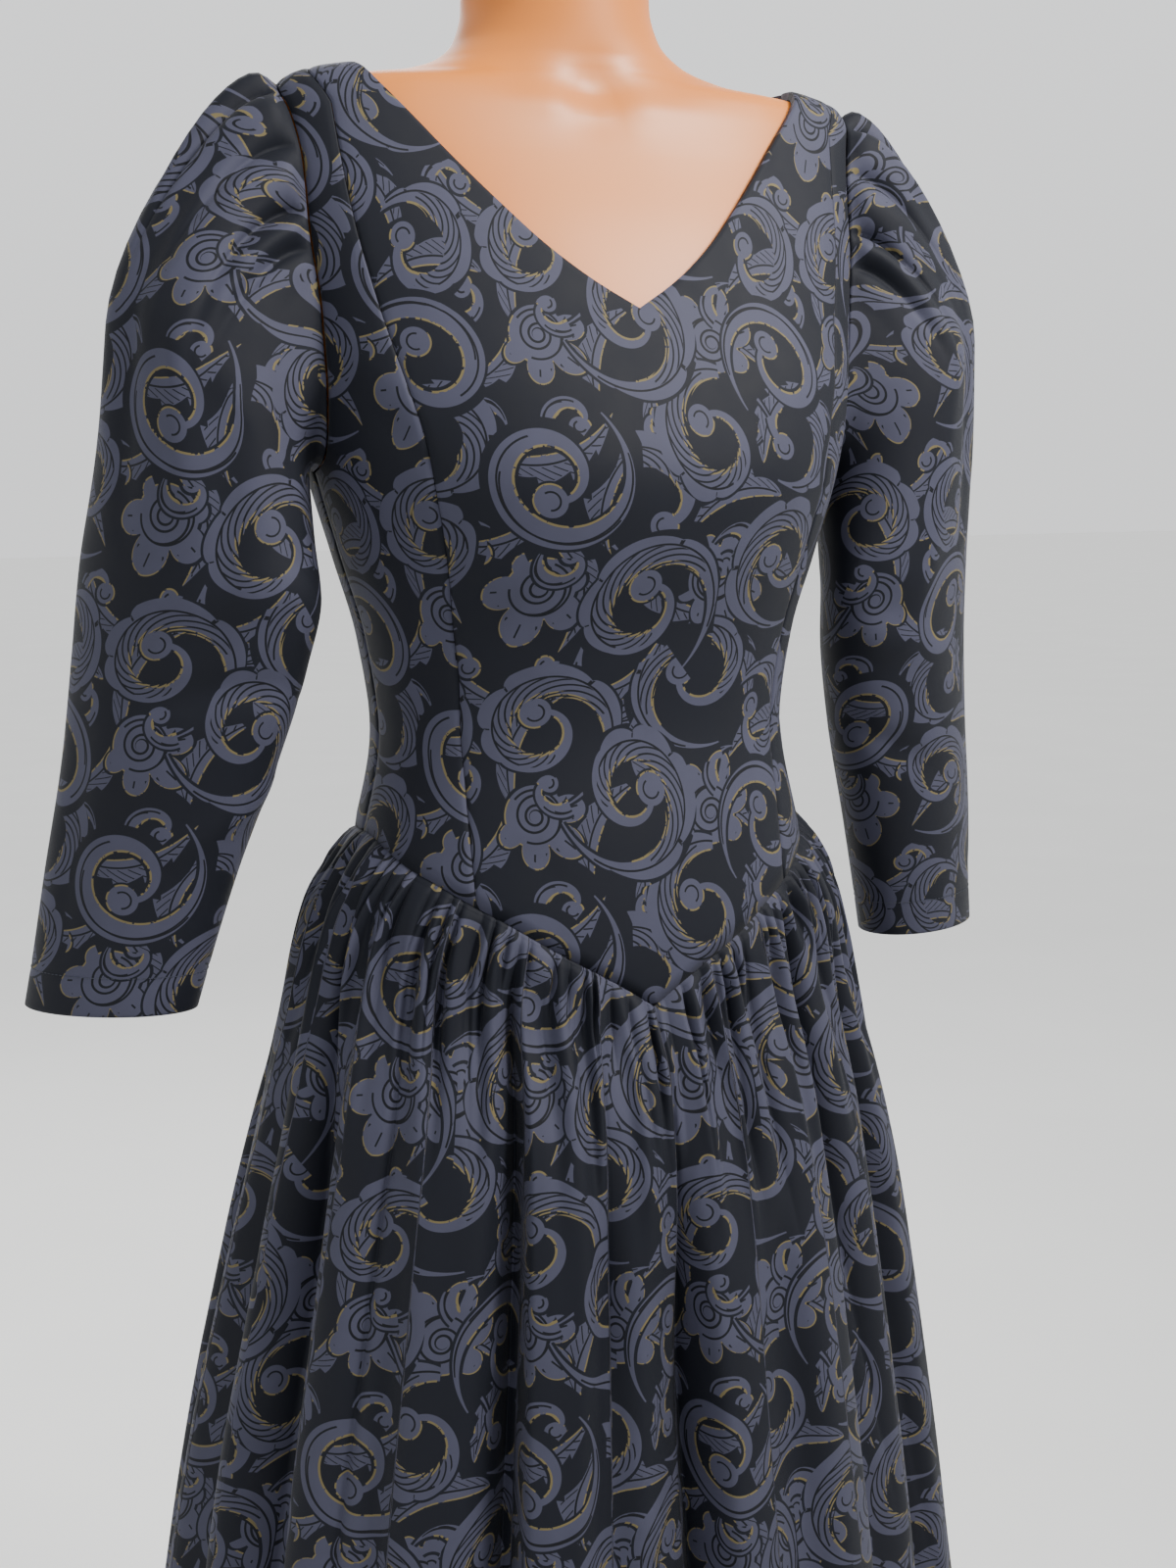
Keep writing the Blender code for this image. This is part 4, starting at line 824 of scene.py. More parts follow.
def skirt_sheet(name, start, end, anchors, offset):
    """One skirt panel, between two places round the waist, with its hem turned in."""
    count = (end - start) * COLUMNS_PER_GATHER
    places = np.linspace(start, end, count + 1)
    shares = np.linspace(0.0, 1.0, SKIRT_ROWS + 1) ** 1.6
    seam = np.array([waist_point(360.0 * place / GATHERS - 180.0) for place in places])
    turn = np.array([skirt_turn(point) for point in seam])[None]
    skin, outward_there = on_figure(seam)
    worn = skin + (EASE + SKIRT_CLOTH + GATHER_ROOM) * outward_there
    top = seam[:, 2] - WAIST_DROP
    height = top + (HEM_HEIGHT - top) * shares[:, None]
    drop = top - height
    settle = (worn - skirt_level_points(turn[0], seam[:, 2]))[None] * (1.0 - ease_in(drop / SETTLE_DROP))[..., None]
    settle[..., 2] = 0.0
    lift = gather_lift(places[None], drop) - fold_sink(turn, drop, shares[:, None])
    lift += soft_ripples(turn, drop, shares[:, None]) - crease_sink(turn, drop)
    lift -= 0.0016 * hump(drop / 0.0022)
    outward = skirt_outward(turn, height)
    rows = skirt_level_points(turn, height) + settle + lift[..., None] * outward
    for edge, neighbour in ((0, 1), (-1, -2)):
        step = rows[:, neighbour] - rows[:, edge]
        rows[:, edge] += SEAM_TRIM * step / np.linalg.norm(step, axis=-1, keepdims=True)
    maps = skirt_maps(rows, places, SKIRT_CLOTH_ROUND / GATHERS, anchors, offset)
    inside = [rows[-1] - inward * outward[-1] + np.array([0.0, 0.0, up])
              for inward, up in ((0.0008, -0.0005), (0.0016, 0.0004), (0.0017, 0.005), (0.0018, 0.024))]
    inside_maps = [maps[-1] - np.array([0.0, up]) for up in (0.0005, 0.0010, 0.005, 0.024)]
    # the seam allowance, turned up between the bodice and the form
    allowance = [skin + lift * outward_there + np.array([0.0, 0.0, rise])
                 for rise, lift in ((0.0085, 0.0010), (0.0040, 0.0011), (0.0006, 0.0016))]
    rows = np.concatenate([np.array(allowance), rows, np.array(inside)])
    maps = np.concatenate([maps[:1], maps[:1], maps[:1], maps, np.array(inside_maps)])
    return cloth_sheet(name, rows, maps)


# ---- Dress form ----------------------------------------------------------------------------------

# Collarbones and the hollow between them: two ends of each, how far it stands out and half its width.
FORM_BONES = (
    ((-0.024, 1.4000), (-0.105, 1.4060), 0.0022, 0.0120),
    ((0.024, 1.4000), (0.105, 1.4060), 0.0022, 0.0120),
    ((0.0, 1.4060), (0.0, 1.3920), -0.0034, 0.0150),
    ((-0.050, 1.4150), (-0.100, 1.4170), -0.0014, 0.0130),
    ((0.050, 1.4150), (0.100, 1.4170), -0.0014, 0.0130),
)


def bone_rise(points):
    """How far the collarbones raise the skin of the form."""
    rise = np.zeros(points.shape[:-1])
    for (x1, height1), (x2, height2), high, half_width in FORM_BONES:
        start, end = level_point(x1, height1, -1), level_point(x2, height2, -1)
        run = end - start
        along = np.clip((points - start) @ run / (run @ run), 0.0, 1.0)
        distance = np.linalg.norm(points - start - along[..., None] * run, axis=-1)
        rise += high * (1.0 - 0.5 * along) * hump(distance / half_width)
    return rise


def form_shell(name):
    """The torso, as smooth as moulded plastic is: fine rings closed above and below."""
    lower = np.linspace(FORM_RINGS[0].height, 1.37, 84)
    heights = np.concatenate([lower, np.linspace(1.371, 1.44, 70), np.linspace(1.442, FORM_RINGS[-1].height, 40)])
    angles = np.linspace(0.0, TAU, 144, endpoint=False)
    across, along = np.sin(angles)[None], -np.cos(angles)[None]
    z = heights[:, None]
    side = side_at(z)
    depth = np.where(along > 0, back_at(z) - side, front_at(z) + side)
    power = 2.0 / squareness_at(z)
    x = half_width_at(z) * np.copysign(np.abs(across) ** power, across)
    y = side + depth * np.copysign(np.abs(along) ** power, along)
    points = np.stack([x, y, np.broadcast_to(z, x.shape)], axis=-1)
    skin, outward = on_figure(points)
    rings = skin - (FORM_SLACK - bone_rise(skin))[..., None] * outward
    count = len(angles)
    verts = rings.reshape(-1, 3).tolist()
    faces = []
    for level in range(len(heights) - 1):
        low = level * count
        for j in range(count):
            following = (j + 1) % count
            faces.append((low + j, low + following, low + count + following, low + count + j))
    faces.append(tuple(reversed(range(count))))
    faces.append(tuple(range((len(heights) - 1) * count, len(heights) * count)))
    mesh = bpy.data.meshes.new(name)
    mesh.from_pydata(verts, [], faces)
    mesh.shade_smooth()
    mesh.set_sharp_from_angle(angle=math.radians(50))
    thing = bpy.data.objects.new(name, mesh)
    bpy.context.scene.collection.objects.link(thing)
    return thing


# ---- Materials -----------------------------------------------------------------------------------

def linear(hex_colour):
    """A colour given as sRGB hex, as the shaders read it."""
    parts = [int(hex_colour[i:i + 2], 16) / 255 for i in (1, 3, 5)]
    return (*[p / 12.92 if p <= 0.04045 else ((p + 0.055) / 1.055) ** 2.4 for p in parts], 1.0)


def add_node(tree, kind, values=(), **settings):
    """A node with its settings made and its sockets given numbers, colours or other nodes' outputs."""
    made = tree.nodes.new(kind)
    for name, value in settings.items():
        setattr(made, name, value)
    for place, value in dict(values).items():
        socket = made.inputs[place]
        if isinstance(value, bpy.types.NodeSocket):
            tree.links.new(value, socket)
        else:
            socket.default_value = value
    return made


def new_material(name):
    material = bpy.data.materials.new(name)
    material.use_nodes = True
    shader = material.node_tree.nodes["Principled BSDF"]
    return material, material.node_tree, shader


class Term:
    """A shader value that can be written in sums, products and comparisons."""

    def __init__(self, tree, socket):
        self.tree = tree
        self.socket = socket

    def by(self, operation, *others):
        values = [self.socket] + [getattr(other, "socket", other) for other in others]
        node = add_node(self.tree, "ShaderNodeMath", dict(enumerate(values)), operation=operation)
        return Term(self.tree, node.outputs[0])

    def __add__(self, other):
        return self.by("ADD", other)

    def __sub__(self, other):
        return self.by("SUBTRACT", other)

    def __mul__(self, other):
        return self.by("MULTIPLY", other)

    def __truediv__(self, other):
        return self.by("DIVIDE", other)

    def __neg__(self):
        return self * -1.0

    def __abs__(self):
        return self.by("ABSOLUTE")

    def __lt__(self, other):
        return self.by("LESS_THAN", other)

    def __gt__(self, other):
        return self.by("GREATER_THAN", other)

    __radd__ = __add__
    __rmul__ = __mul__

    def __rsub__(self, other):
        return -self + other


def smooth_step(term, low, high):
    node = add_node(term.tree, "ShaderNodeMapRange", {"Value": term.socket, "From Min": low, "From Max": high},
                    interpolation_type="SMOOTHSTEP")
    return Term(term.tree, node.outputs[0])


def either(*masks):
    """A mask that is set where any of the given ones is."""
    joined = masks[0]
    for mask in masks[1:]:
        joined = joined.by("MAXIMUM", mask)
    return joined


def reach_of(across, up):
    return (across * across + up * up + 1e-6).by("SQRT")


def new_group(name, inputs):
    """A group for one motif of the print, which gives how far outside its body a point lies, in print units,
    and where its dark lines and its gold edges are."""
    tree = bpy.data.node_groups.new(name, "ShaderNodeTree")
    for socket in inputs:
        tree.interface.new_socket(name=socket, in_out="INPUT", socket_type="NodeSocketFloat")
    for socket in ("Body", "Line", "Gold"):
        tree.interface.new_socket(name=socket, in_out="OUTPUT", socket_type="NodeSocketFloat")
    given = tree.nodes.new("NodeGroupInput")
    return tree, [Term(tree, given.outputs[socket]) for socket in inputs]


def finish_group(tree, body, line, gold):
    add_node(tree, "NodeGroupOutput", {"Body": body.socket, "Line": line.socket, "Gold": gold.socket})
    return tree


def scroll_group():
    """A spiral arm that swells from its tip and winds in to a round bulb. Some have the lobed back and the
    feathered inside of an acanthus leaf."""
    tree, given = new_group("print_scroll", (
        "Across", "Up", "Size", "Reach", "Lobes", "Coil", "Breadth", "Bulb"))
    across, up, size, reach, lobes, coil, breadth, bulb = given
    across = across / 0.86
    radius = reach_of(across, up)
    turn = (up.by("ARCTAN2", across) / TAU).by("FRACT")
    tightness = -coil.by("LOGARITHM", math.e)
    wound = -(radius / size).by("LOGARITHM", math.e) / tightness
    along = turn + (wound - turn).by("ROUND").by("MAXIMUM", 0.0).by("MINIMUM", 2.0)
    off = (along - wound) * tightness * radius
    share = (along / reach).by("MINIMUM", 1.0)
    taper = smooth_step(share, -0.06, 0.34) * (1.0 - 0.62 * smooth_step(share, 0.42, 1.0))
    half = breadth * size * coil.by("POWER", along * 0.55) * taper
    place = (along * 6.0 + 0.25 * (along * 9.0).by("SINE")).by("FRACT")
    lobe = (place.by("POWER", 1.5) * math.pi).by("SINE").by("SQRT") * smooth_step(share, 0.02, 0.14)
    back = half * (1.0 + lobes * lobe * (1.0 - smooth_step(share, 0.46, 0.60)))
    strand = (along * 15.0 + off * 0.34).by("FRACT")
    leafy = (lobes > 0.2) * smooth_step(share, 0.10, 0.24) * (1.0 - smooth_step(share, 0.60, 0.76))
    inner = half * (1.0 + 0.38 * strand * leafy)
    arm = (off - back).by("MAXIMUM", -off - inner) + 9.0 * (along > reach)
    end = size * coil.by("POWER", reach)
    end_across = across - end * (reach * TAU).by("COSINE") * 1.02
    end_up = up - end * (reach * TAU).by("SINE") * 1.02
    knob = reach_of(end_across, end_up) - bulb * size
    body = arm.by("MINIMUM", knob)
    first = (abs(off - half * (0.55 - 0.7 * share)) < 0.5) * (share > 0.06) * (share < 0.58)
    second = (abs(off - half * (1.15 - 2.6 * share)) < 0.45) * (share > 0.16) * (share < 0.46) * (lobes < 0.2)
    hatch = (strand.by("MINIMUM", 1.0 - strand) < 0.15) * (off < 0.25 * half) * (leafy > 0.35)
    notch = (place.by("MINIMUM", 1.0 - place) * size * 0.8 < 0.6) * (off > 0.5 * half) * (share > 0.04)
    notch = notch * (share < 0.52) * (lobes > 0.05)
    eye = (abs(knob + 0.45 * bulb * size) < 0.45) * ((end_up.by("ARCTAN2", end_across) + 1.0).by("SINE") > -0.35)
    line = either(either(first, second, hatch, notch) * (arm < -0.5), eye)
    on_knob = knob < arm
    knob_edge = (knob > -0.35) * (end_up < 0.0)
    arm_edge = (off < 0.0) * (arm > -0.35) * (share > 0.12) * (share < 0.9)
    gold = on_knob * knob_edge + (1.0 - on_knob) * arm_edge
    return finish_group(tree, body, line, gold)


def leaf_group():
    """A bent leaf with a midrib, slanting veins and a toothed upper edge."""
    tree, given = new_group("print_leaf", ("Across", "Up", "Size", "Bend", "Teeth"))
    across, up, size, bend, teeth = given
    share = across / (2.0 * size) + 0.5
    inside = share.by("MAXIMUM", 0.0).by("MINIMUM", 1.0)
    middle = inside - 0.5
    up = up - bend * size * (0.5 - 2.0 * middle * middle)
    half = 0.30 * size * (inside.by("POWER", 0.7) * math.pi).by("SINE").by("MAXIMUM", 0.0).by("POWER", 0.8)
    upper = half * (1.15 - 0.5 * (inside * teeth).by("FRACT"))
    body = (up - upper).by("MAXIMUM", -up - half * 0.5) + 9.0 * either(share < 0.0, share > 1.0)
    rib = (abs(up) < 0.45) * (share > 0.05) * (share < 0.9)
    slant = abs((across - abs(up) * 1.3).by("FLOORED_MODULO", 4.6) - 2.3) < 0.42
    vein = slant * (up > 0.12 * half) * (up < 0.9 * half)
    gold = (abs(body + 0.1) < 0.36) * (up < 0.0)
    return finish_group(tree, body, either(rib, vein) * (body < -0.5), gold)


def flower_group():
    """A coiled bud with a fan of petals on one side."""
    tree, given = new_group("print_flower", ("Across", "Up", "Size", "Petals", "Core"))
    across, up, size, petals, core = given
    radius = reach_of(across, up)
    turn = up.by("ARCTAN2", across) / TAU
    place = (turn * petals * 1.35 + 0.5).by("FRACT")
    lobe = (place * math.pi).by("SINE").by("SQRT")
    fan = (abs(turn) < 0.37) * (1.0 - 0.9 * abs(turn))
    heart = core * size
    rim = (1.18 * heart).by("MAXIMUM", size * (0.42 + 0.58 * lobe) * fan)
    body = radius - rim
    petal_width = radius * TAU / (petals * 1.35)
    split = (place.by("MINIMUM", 1.0 - place) * petal_width < 0.5) * (radius > 1.2 * heart)
    ray = (abs((place * 3.0).by("FRACT") - 0.5) * petal_width / 3.0 < 0.4) * (radius > 0.62 * size)
    wound = -(radius / heart).by("LOGARITHM", math.e) / 0.62
    coiled = (abs((wound - turn + 0.5).by("FRACT") - 0.5) * 0.62 * radius < 0.55) * (radius < heart)
    line = either(split, ray * (radius < 0.86 * rim), coiled * (radius > 0.22 * heart),
                  (abs(radius - heart) < 0.5) * (turn > -0.2))
    gold = (abs(body + 0.1) < 0.36) * (turn < 0.12)
    return finish_group(tree, body, line * (body < -0.5), gold)


# The print's repeat is 168 by 208 units of 1.3 mm. Each kind of motif has a lattice of cells of its own, and
# a chart that says how far each motif of the repeat stands from its cell's middle, in those units, how it is
# turned, its size and its hand, then two numbers for its shape.
PRINT_UNIT = 1.30         # mm
Motif = namedtuple("Motif", "across up turn size hand first second")
MOTIF_SPANS = Motif((-20.0, 20.0), (-20.0, 20.0), (-360.0, 360.0), (0.0, 50.0), (-1.0, 1.0), (0.0, 8.0), (0.0, 8.0))
CHART_COLUMNS = (("across", "up", "turn"), ("size", "first", "second"), ("hand", "hand", "hand"))
LARGE_SCROLLS = (
    Motif(3, 12, 200, 40, 1, 1.46, 1.1), Motif(-5, -10, 40, 37, -1, 1.28, 0.0),
    Motif(5, -12, -50, 41, 1, 1.40, 0.5), Motif(-4, 9, 120, 38, -1, 1.34, 1.2),
)
OTHER_SCROLLS = (
    Motif(-4, 10, 110, 39, -1, 1.34, 0.3), Motif(5, -13, 290, 38, 1, 1.48, 1.1),
    Motif(-6, 8, 20, 37, 1, 1.30, 1.0), Motif(3, -6, 230, 40, -1, 1.40, 0.0),
)
HOOKS = (
    Motif(4, 14, 150, 30, 1, 0.92, 1.2), Motif(-6, -13, 330, 28, -1, 1.02, 0.6),
    Motif(5, -15, 60, 31, -1, 0.86, 1.2), Motif(-4, 13, 240, 29, 1, 0.96, 1.0),
)
FLOWERS = (
    Motif(0, 0, 70, 28, 1, 5, 0.42), Motif(1, 3, -40, 26, 1, 5, 0.44),
    Motif(-3, 2, 160, 29, -1, 6, 0.40), Motif(2, -2, 250, 27, 1, 4, 0.44),
)
LEAVES = (
    Motif(0, 5, 100, 27, 1, 0.9, 4), Motif(2, -4, 10, 26, -1, 0.8, 4), Motif(-2, 2, 60, 28, 1, 0.9, 4),
    Motif(3, 3, 150, 26, -1, 0.8, 4), Motif(-4, -3, -20, 27, 1, 0.85, 4), Motif(1, 0, -80, 26, 1, 0.9, 4),
    Motif(0, -5, 120, 27, -1, 0.8, 4), Motif(2, 3, 40, 26, 1, 0.9, 4), Motif(-2, -2, 200, 27, -1, 0.8, 4),
)
OTHER_LEAVES = (
    Motif(3, -5, -50, 24, -1, 0.9, 4), Motif(-2, 4, 130, 26, 1, 0.8, 4), Motif(4, 2, -150, 23, 1, 0.9, 4),
    Motif(-3, -3, 20, 26, -1, 0.8, 4), Motif(4, -3, 200, 24, 1, 0.85, 4), Motif(1, 2, 80, 26, -1, 0.9, 4),
    Motif(2, -5, -20, 23, 1, 0.8, 4), Motif(-2, 3, 240, 24, -1, 0.9, 4), Motif(2, -2, 60, 26, 1, 0.8, 4),
)
COMMAS = tuple(
    Motif((k * 7) % 9 - 4, (k * 5) % 11 - 5, k * 77 % 360, 13 + 1.2 * (k * 3 % 4), 1 if k % 3 else -1, 0.85, 0.0)
    for k in range(16)
)

# A lattice of the print: its chart, its cells' size and first middle, how many cells the repeat has across,
# and for scrolls how tight they wind, how broad the arm is and how big the bulb.
Lattice = namedtuple("Lattice", "chart cell first columns kind")
LARGE_LATTICE = Lattice(LARGE_SCROLLS, (84.0, 104.0), (0.0, 0.0), 2, (0.40, 0.175, 0.19))
OTHER_LATTICE = Lattice(OTHER_SCROLLS, (84.0, 104.0), (42.0, 52.0), 2, (0.40, 0.175, 0.19))
HOOK_LATTICE = Lattice(HOOKS, (84.0, 104.0), (0.0, 52.0), 2, (0.40, 0.25, 0.22))
COMMA_LATTICE = Lattice(COMMAS, (42.0, 52.0), (10.0, 14.0), 4, (0.30, 0.26, 0.34))
FLOWER_LATTICE = Lattice(FLOWERS, (84.0, 104.0), (42.0, 0.0), 2, (0.0, 0.0, 0.0))
LEAF_LATTICE = Lattice(LEAVES, (56.0, 69.333), (21.0, 30.0), 3, (0.0, 0.0, 0.0))
OTHER_LEAF_LATTICE = Lattice(OTHER_LEAVES, (56.0, 69.333), (49.0, 66.0), 3, (0.0, 0.0, 0.0))


def vector_math(tree, operation, *values):
    return add_node(tree, "ShaderNodeVectorMath", dict(enumerate(values)), operation=operation).outputs[0]


def chart_columns(tree, index, chart):
    """The chart's columns, three by three, for the cell that a point is in."""
    found = []
    for names in CHART_COLUMNS:
        ramp = add_node(tree, "ShaderNodeValToRGB", {"Fac": ((index + 0.5) / len(chart)).socket})
        ramp.color_ramp.interpolation = "CONSTANT"
        while len(ramp.color_ramp.elements) < len(chart):
            ramp.color_ramp.elements.new(1.0)
        lows = [getattr(MOTIF_SPANS, name)[0] for name in names]
        spans = [getattr(MOTIF_SPANS, name)[1] - getattr(MOTIF_SPANS, name)[0] for name in names]
        for row, motif in enumerate(chart):
            shares = [(getattr(motif, name) - low) / span for name, low, span in zip(names, lows, spans)]
            ramp.color_ramp.elements[row].position = row / len(chart)
            ramp.color_ramp.elements[row].color = (*shares, 1.0)
        found.append(vector_math(tree, "MULTIPLY_ADD", ramp.outputs["Color"], spans, lows))
    return found


def in_lattice(tree, place, lattice):
    """Where a point lies from its motif's middle, and the motif's size and shape numbers, as vectors."""
    cell = (*lattice.cell, 1.0)
    shift = [0.5 - start / side for start, side in zip(lattice.first, lattice.cell)]
    cells = vector_math(tree, "MULTIPLY_ADD", place, [1.0 / side for side in cell], (*shift, 0.0))
    rows = len(lattice.chart) // lattice.columns
    whole = vector_math(tree, "FLOOR", cells)
    wrapped = vector_math(tree, "WRAP", whole, (lattice.columns, rows, 1.0), (0.0, 0.0, 0.0))
    numbered = add_node(tree, "ShaderNodeVectorMath", {0: wrapped, 1: (1.0, lattice.columns, 0.0)},
                        operation="DOT_PRODUCT")
    spot, shape, hand = chart_columns(tree, Term(tree, numbered.outputs["Value"]), lattice.chart)
    parts = add_node(tree, "ShaderNodeSeparateXYZ", {0: spot})
    middle = vector_math(tree, "SUBTRACT", vector_math(tree, "FRACTION", cells), (0.5, 0.5, 0.0))
    away = vector_math(tree, "SUBTRACT", vector_math(tree, "MULTIPLY", middle, cell), spot)
    turn = Term(tree, parts.outputs[2]) * (-TAU / 360.0)
    turned = add_node(tree, "ShaderNodeVectorRotate", {"Vector": away, "Angle": turn.socket}, rotation_type="Z_AXIS")
    facing = vector_math(tree, "MULTIPLY_ADD", hand, (1.0, 0.0, 0.0), (0.0, 1.0, 0.0))
    return vector_math(tree, "MULTIPLY", turned.outputs[0], facing), shape


def choose(tree, mask, first, second):
    """The first vector where the mask is set, and the second elsewhere."""
    mixer = add_node(tree, "ShaderNodeMix", {0: mask.socket}, data_type="VECTOR", clamp_factor=False)
    for place, value in ((4, second), (5, first)):
        if isinstance(value, bpy.types.NodeSocket):
            tree.links.new(value, mixer.inputs[place])
        else:
            mixer.inputs[place].default_value = value
    return mixer.outputs[1]


def within(tree, away, reach):
    flat = vector_math(tree, "MULTIPLY", away, (1.0, 1.0, 0.0))
    length = add_node(tree, "ShaderNodeVectorMath", {0: flat}, operation="LENGTH")
    return Term(tree, length.outputs["Value"]) < reach


def within_spiral(tree, away, shape, margin):
    """Set where a point lies inside the outer turn of a scroll."""
    parts = add_node(tree, "ShaderNodeSeparateXYZ", {0: away})
    across, up = Term(tree, parts.outputs[0]) / 0.86, Term(tree, parts.outputs[1])
    size = Term(tree, add_node(tree, "ShaderNodeSeparateXYZ", {0: shape}).outputs[0])
    turn = (up.by("ARCTAN2", across) / TAU).by("FRACT")
    wound = (turn * math.log(0.40)).by("EXPONENT")
    return reach_of(across, up) < size * (wound + margin)


def motif_ink(tree, group, away, shape, kind=None):
    """Body, line and gold of one motif."""
    motif = add_node(tree, "ShaderNodeGroup", {}, node_tree=group)
    sources = [away, shape] if kind is None else [away, shape, kind]
    place = 0
    for source, count in zip(sources, (2, 3, 3)):
        parts = add_node(tree, "ShaderNodeSeparateXYZ", {0: source})
        for k in range(count):
            tree.links.new(parts.outputs[k], motif.inputs[place])
            place += 1
    return [Term(tree, motif.outputs[name]) for name in ("Body", "Line", "Gold")]


INK_MARGIN = 1.5          # bare ground that a motif keeps round itself, in print units
GOLD_KEPT = 0.58          # the gold has rubbed off where the wear noise is above this


def printed_cotton():
    """Navy cotton with grey-mauve scrolls, dark drawing lines and one-sided antique-gold outlines."""
    material, tree, shader = new_material("navy_printed_cotton")
    cloth_map = add_node(tree, "ShaderNodeUVMap", uv_map="Cloth")
    place = vector_math(tree, "SCALE", cloth_map.outputs[0])
    place.node.inputs["Scale"].default_value = 1000.0 / PRINT_UNIT
    parts = add_node(tree, "ShaderNodeSeparateXYZ", {0: place})
    x, y = Term(tree, parts.outputs[0]), Term(tree, parts.outputs[1])
    # leaves and flowers lie lowest, then one of the scrolls: the large ones go over the others
    leaf_away, leaf_shape = in_lattice(tree, place, LEAF_LATTICE)
    other_away, other_shape = in_lattice(tree, place, OTHER_LEAF_LATTICE)
    near = within(tree, leaf_away, 28.0)
    leaves = motif_ink(tree, leaf_group(), choose(tree, near, leaf_away, other_away),
                       choose(tree, near, leaf_shape, other_shape))
    flowers = motif_ink(tree, flower_group(), *in_lattice(tree, place, FLOWER_LATTICE))
    away, shape = in_lattice(tree, place, COMMA_LATTICE)
    kind = COMMA_LATTICE.kind
    for lattice, margin in ((HOOK_LATTICE, 0.30), (OTHER_LATTICE, 0.22), (LARGE_LATTICE, 0.22)):
        next_away, next_shape = in_lattice(tree, place, lattice)
        near = within_spiral(tree, next_away, next_shape, margin)
        away = choose(tree, near, next_away, away)
        shape = choose(tree, near, next_shape, shape)
        kind = choose(tree, near, lattice.kind, kind)
    scrolls = motif_ink(tree, scroll_group(), away, shape, kind)
    ink = None
    worn = add_node(tree, "ShaderNodeTexNoise", {0: cloth_map.outputs[0], "Scale": 260.0, "Detail": 2.0})
    kept = Term(tree, worn.outputs[0]) < GOLD_KEPT
    for body, line, gold in (leaves, flowers, scrolls):
        own = (body < 0.0) * (1.0 + line)
        own = own.by("MAXIMUM", 3.0 * gold * kept * (body < 0.5))
        ink = own if ink is None else ink * (body > INK_MARGIN) + own
    inks = add_node(tree, "ShaderNodeValToRGB", {"Fac": ((ink + 0.5) / 4.0).socket})
    inks.color_ramp.interpolation = "CONSTANT"
    colours = ("#0a0d16", "#373847", "#070910", "#595036")
    while len(inks.color_ramp.elements) < len(colours):
        inks.color_ramp.elements.new(1.0)
    for k, colour in enumerate(colours):
        inks.color_ramp.elements[k].position = k / len(colours)
        inks.color_ramp.elements[k].color = linear(colour)
    # uneven take-up of the ink and a little wear
    cloudy = add_node(tree, "ShaderNodeTexNoise", {0: cloth_map.outputs[0], "Scale": 45.0, "Detail": 3.0})
    uneven = add_node(tree, "ShaderNodeMapRange", {"Value": cloudy.outputs[0], "To Min": 0.84, "To Max": 1.14})
    mixed = add_node(tree, "ShaderNodeMix", {}, data_type="RGBA", blend_type="MULTIPLY")
    mixed.inputs[0].default_value = 1.0
    tree.links.new(inks.outputs["Color"], mixed.inputs[6])
    tree.links.new(uneven.outputs[0], mixed.inputs[7])
    tree.links.new(mixed.outputs[2], shader.inputs["Base Color"])
    rough = add_node(tree, "ShaderNodeMapRange", {"Value": cloudy.outputs[0], "To Min": 0.58, "To Max": 0.72})
    tree.links.new(rough.outputs[0], shader.inputs["Roughness"])
    # plain weave of 0.4 mm threads
    pitch = TAU * PRINT_UNIT / 0.42
    threads = (x * pitch).by("SINE") * (y * pitch).by("SINE")
    bump = add_node(tree, "ShaderNodeBump", {"Strength": 0.35, "Distance": 0.00006, "Height": threads.socket})
    tree.links.new(bump.outputs[0], shader.inputs["Normal"])
    shader.inputs["Sheen Weight"].default_value = 0.03
    shader.inputs["Sheen Roughness"].default_value = 0.45
    shader.inputs["Specular IOR Level"].default_value = 0.16
    return material


def skin_plastic():
    """Skin-tone moulded plastic under a gloss lacquer, very slightly uneven."""
    material, tree, shader = new_material("skin_tone_lacquered_plastic")
    place = add_node(tree, "ShaderNodeTexCoord").outputs["Object"]
    cloudy = add_node(tree, "ShaderNodeTexNoise", {"Vector": place, "Scale": 9.0, "Detail": 2.0})
    tones = add_node(tree, "ShaderNodeValToRGB", {"Fac": cloudy.outputs[0]})
    tones.color_ramp.elements[0].color = linear("#b4651c")
    tones.color_ramp.elements[1].color = linear("#be7024")
    tree.links.new(tones.outputs["Color"], shader.inputs["Base Color"])
    orange_peel = add_node(tree, "ShaderNodeTexNoise", {"Vector": place, "Scale": 55.0, "Detail": 1.0})
    bump = add_node(tree, "ShaderNodeBump", {"Strength": 0.10, "Distance": 0.0006, "Height": orange_peel.outputs[0]})
    tree.links.new(bump.outputs[0], shader.inputs["Normal"])
    rough = add_node(tree, "ShaderNodeMapRange", {"Value": cloudy.outputs[0], "To Min": 0.44, "To Max": 0.54})
    tree.links.new(rough.outputs[0], shader.inputs["Roughness"])
    shader.inputs["Specular IOR Level"].default_value = 0.32
    shader.inputs["Coat Weight"].default_value = 0.12
    shader.inputs["Coat Roughness"].default_value = 0.30
    shader.inputs["Subsurface Weight"].default_value = 0.06
    shader.inputs["Subsurface Radius"].default_value = (0.010, 0.005, 0.003)
    return material


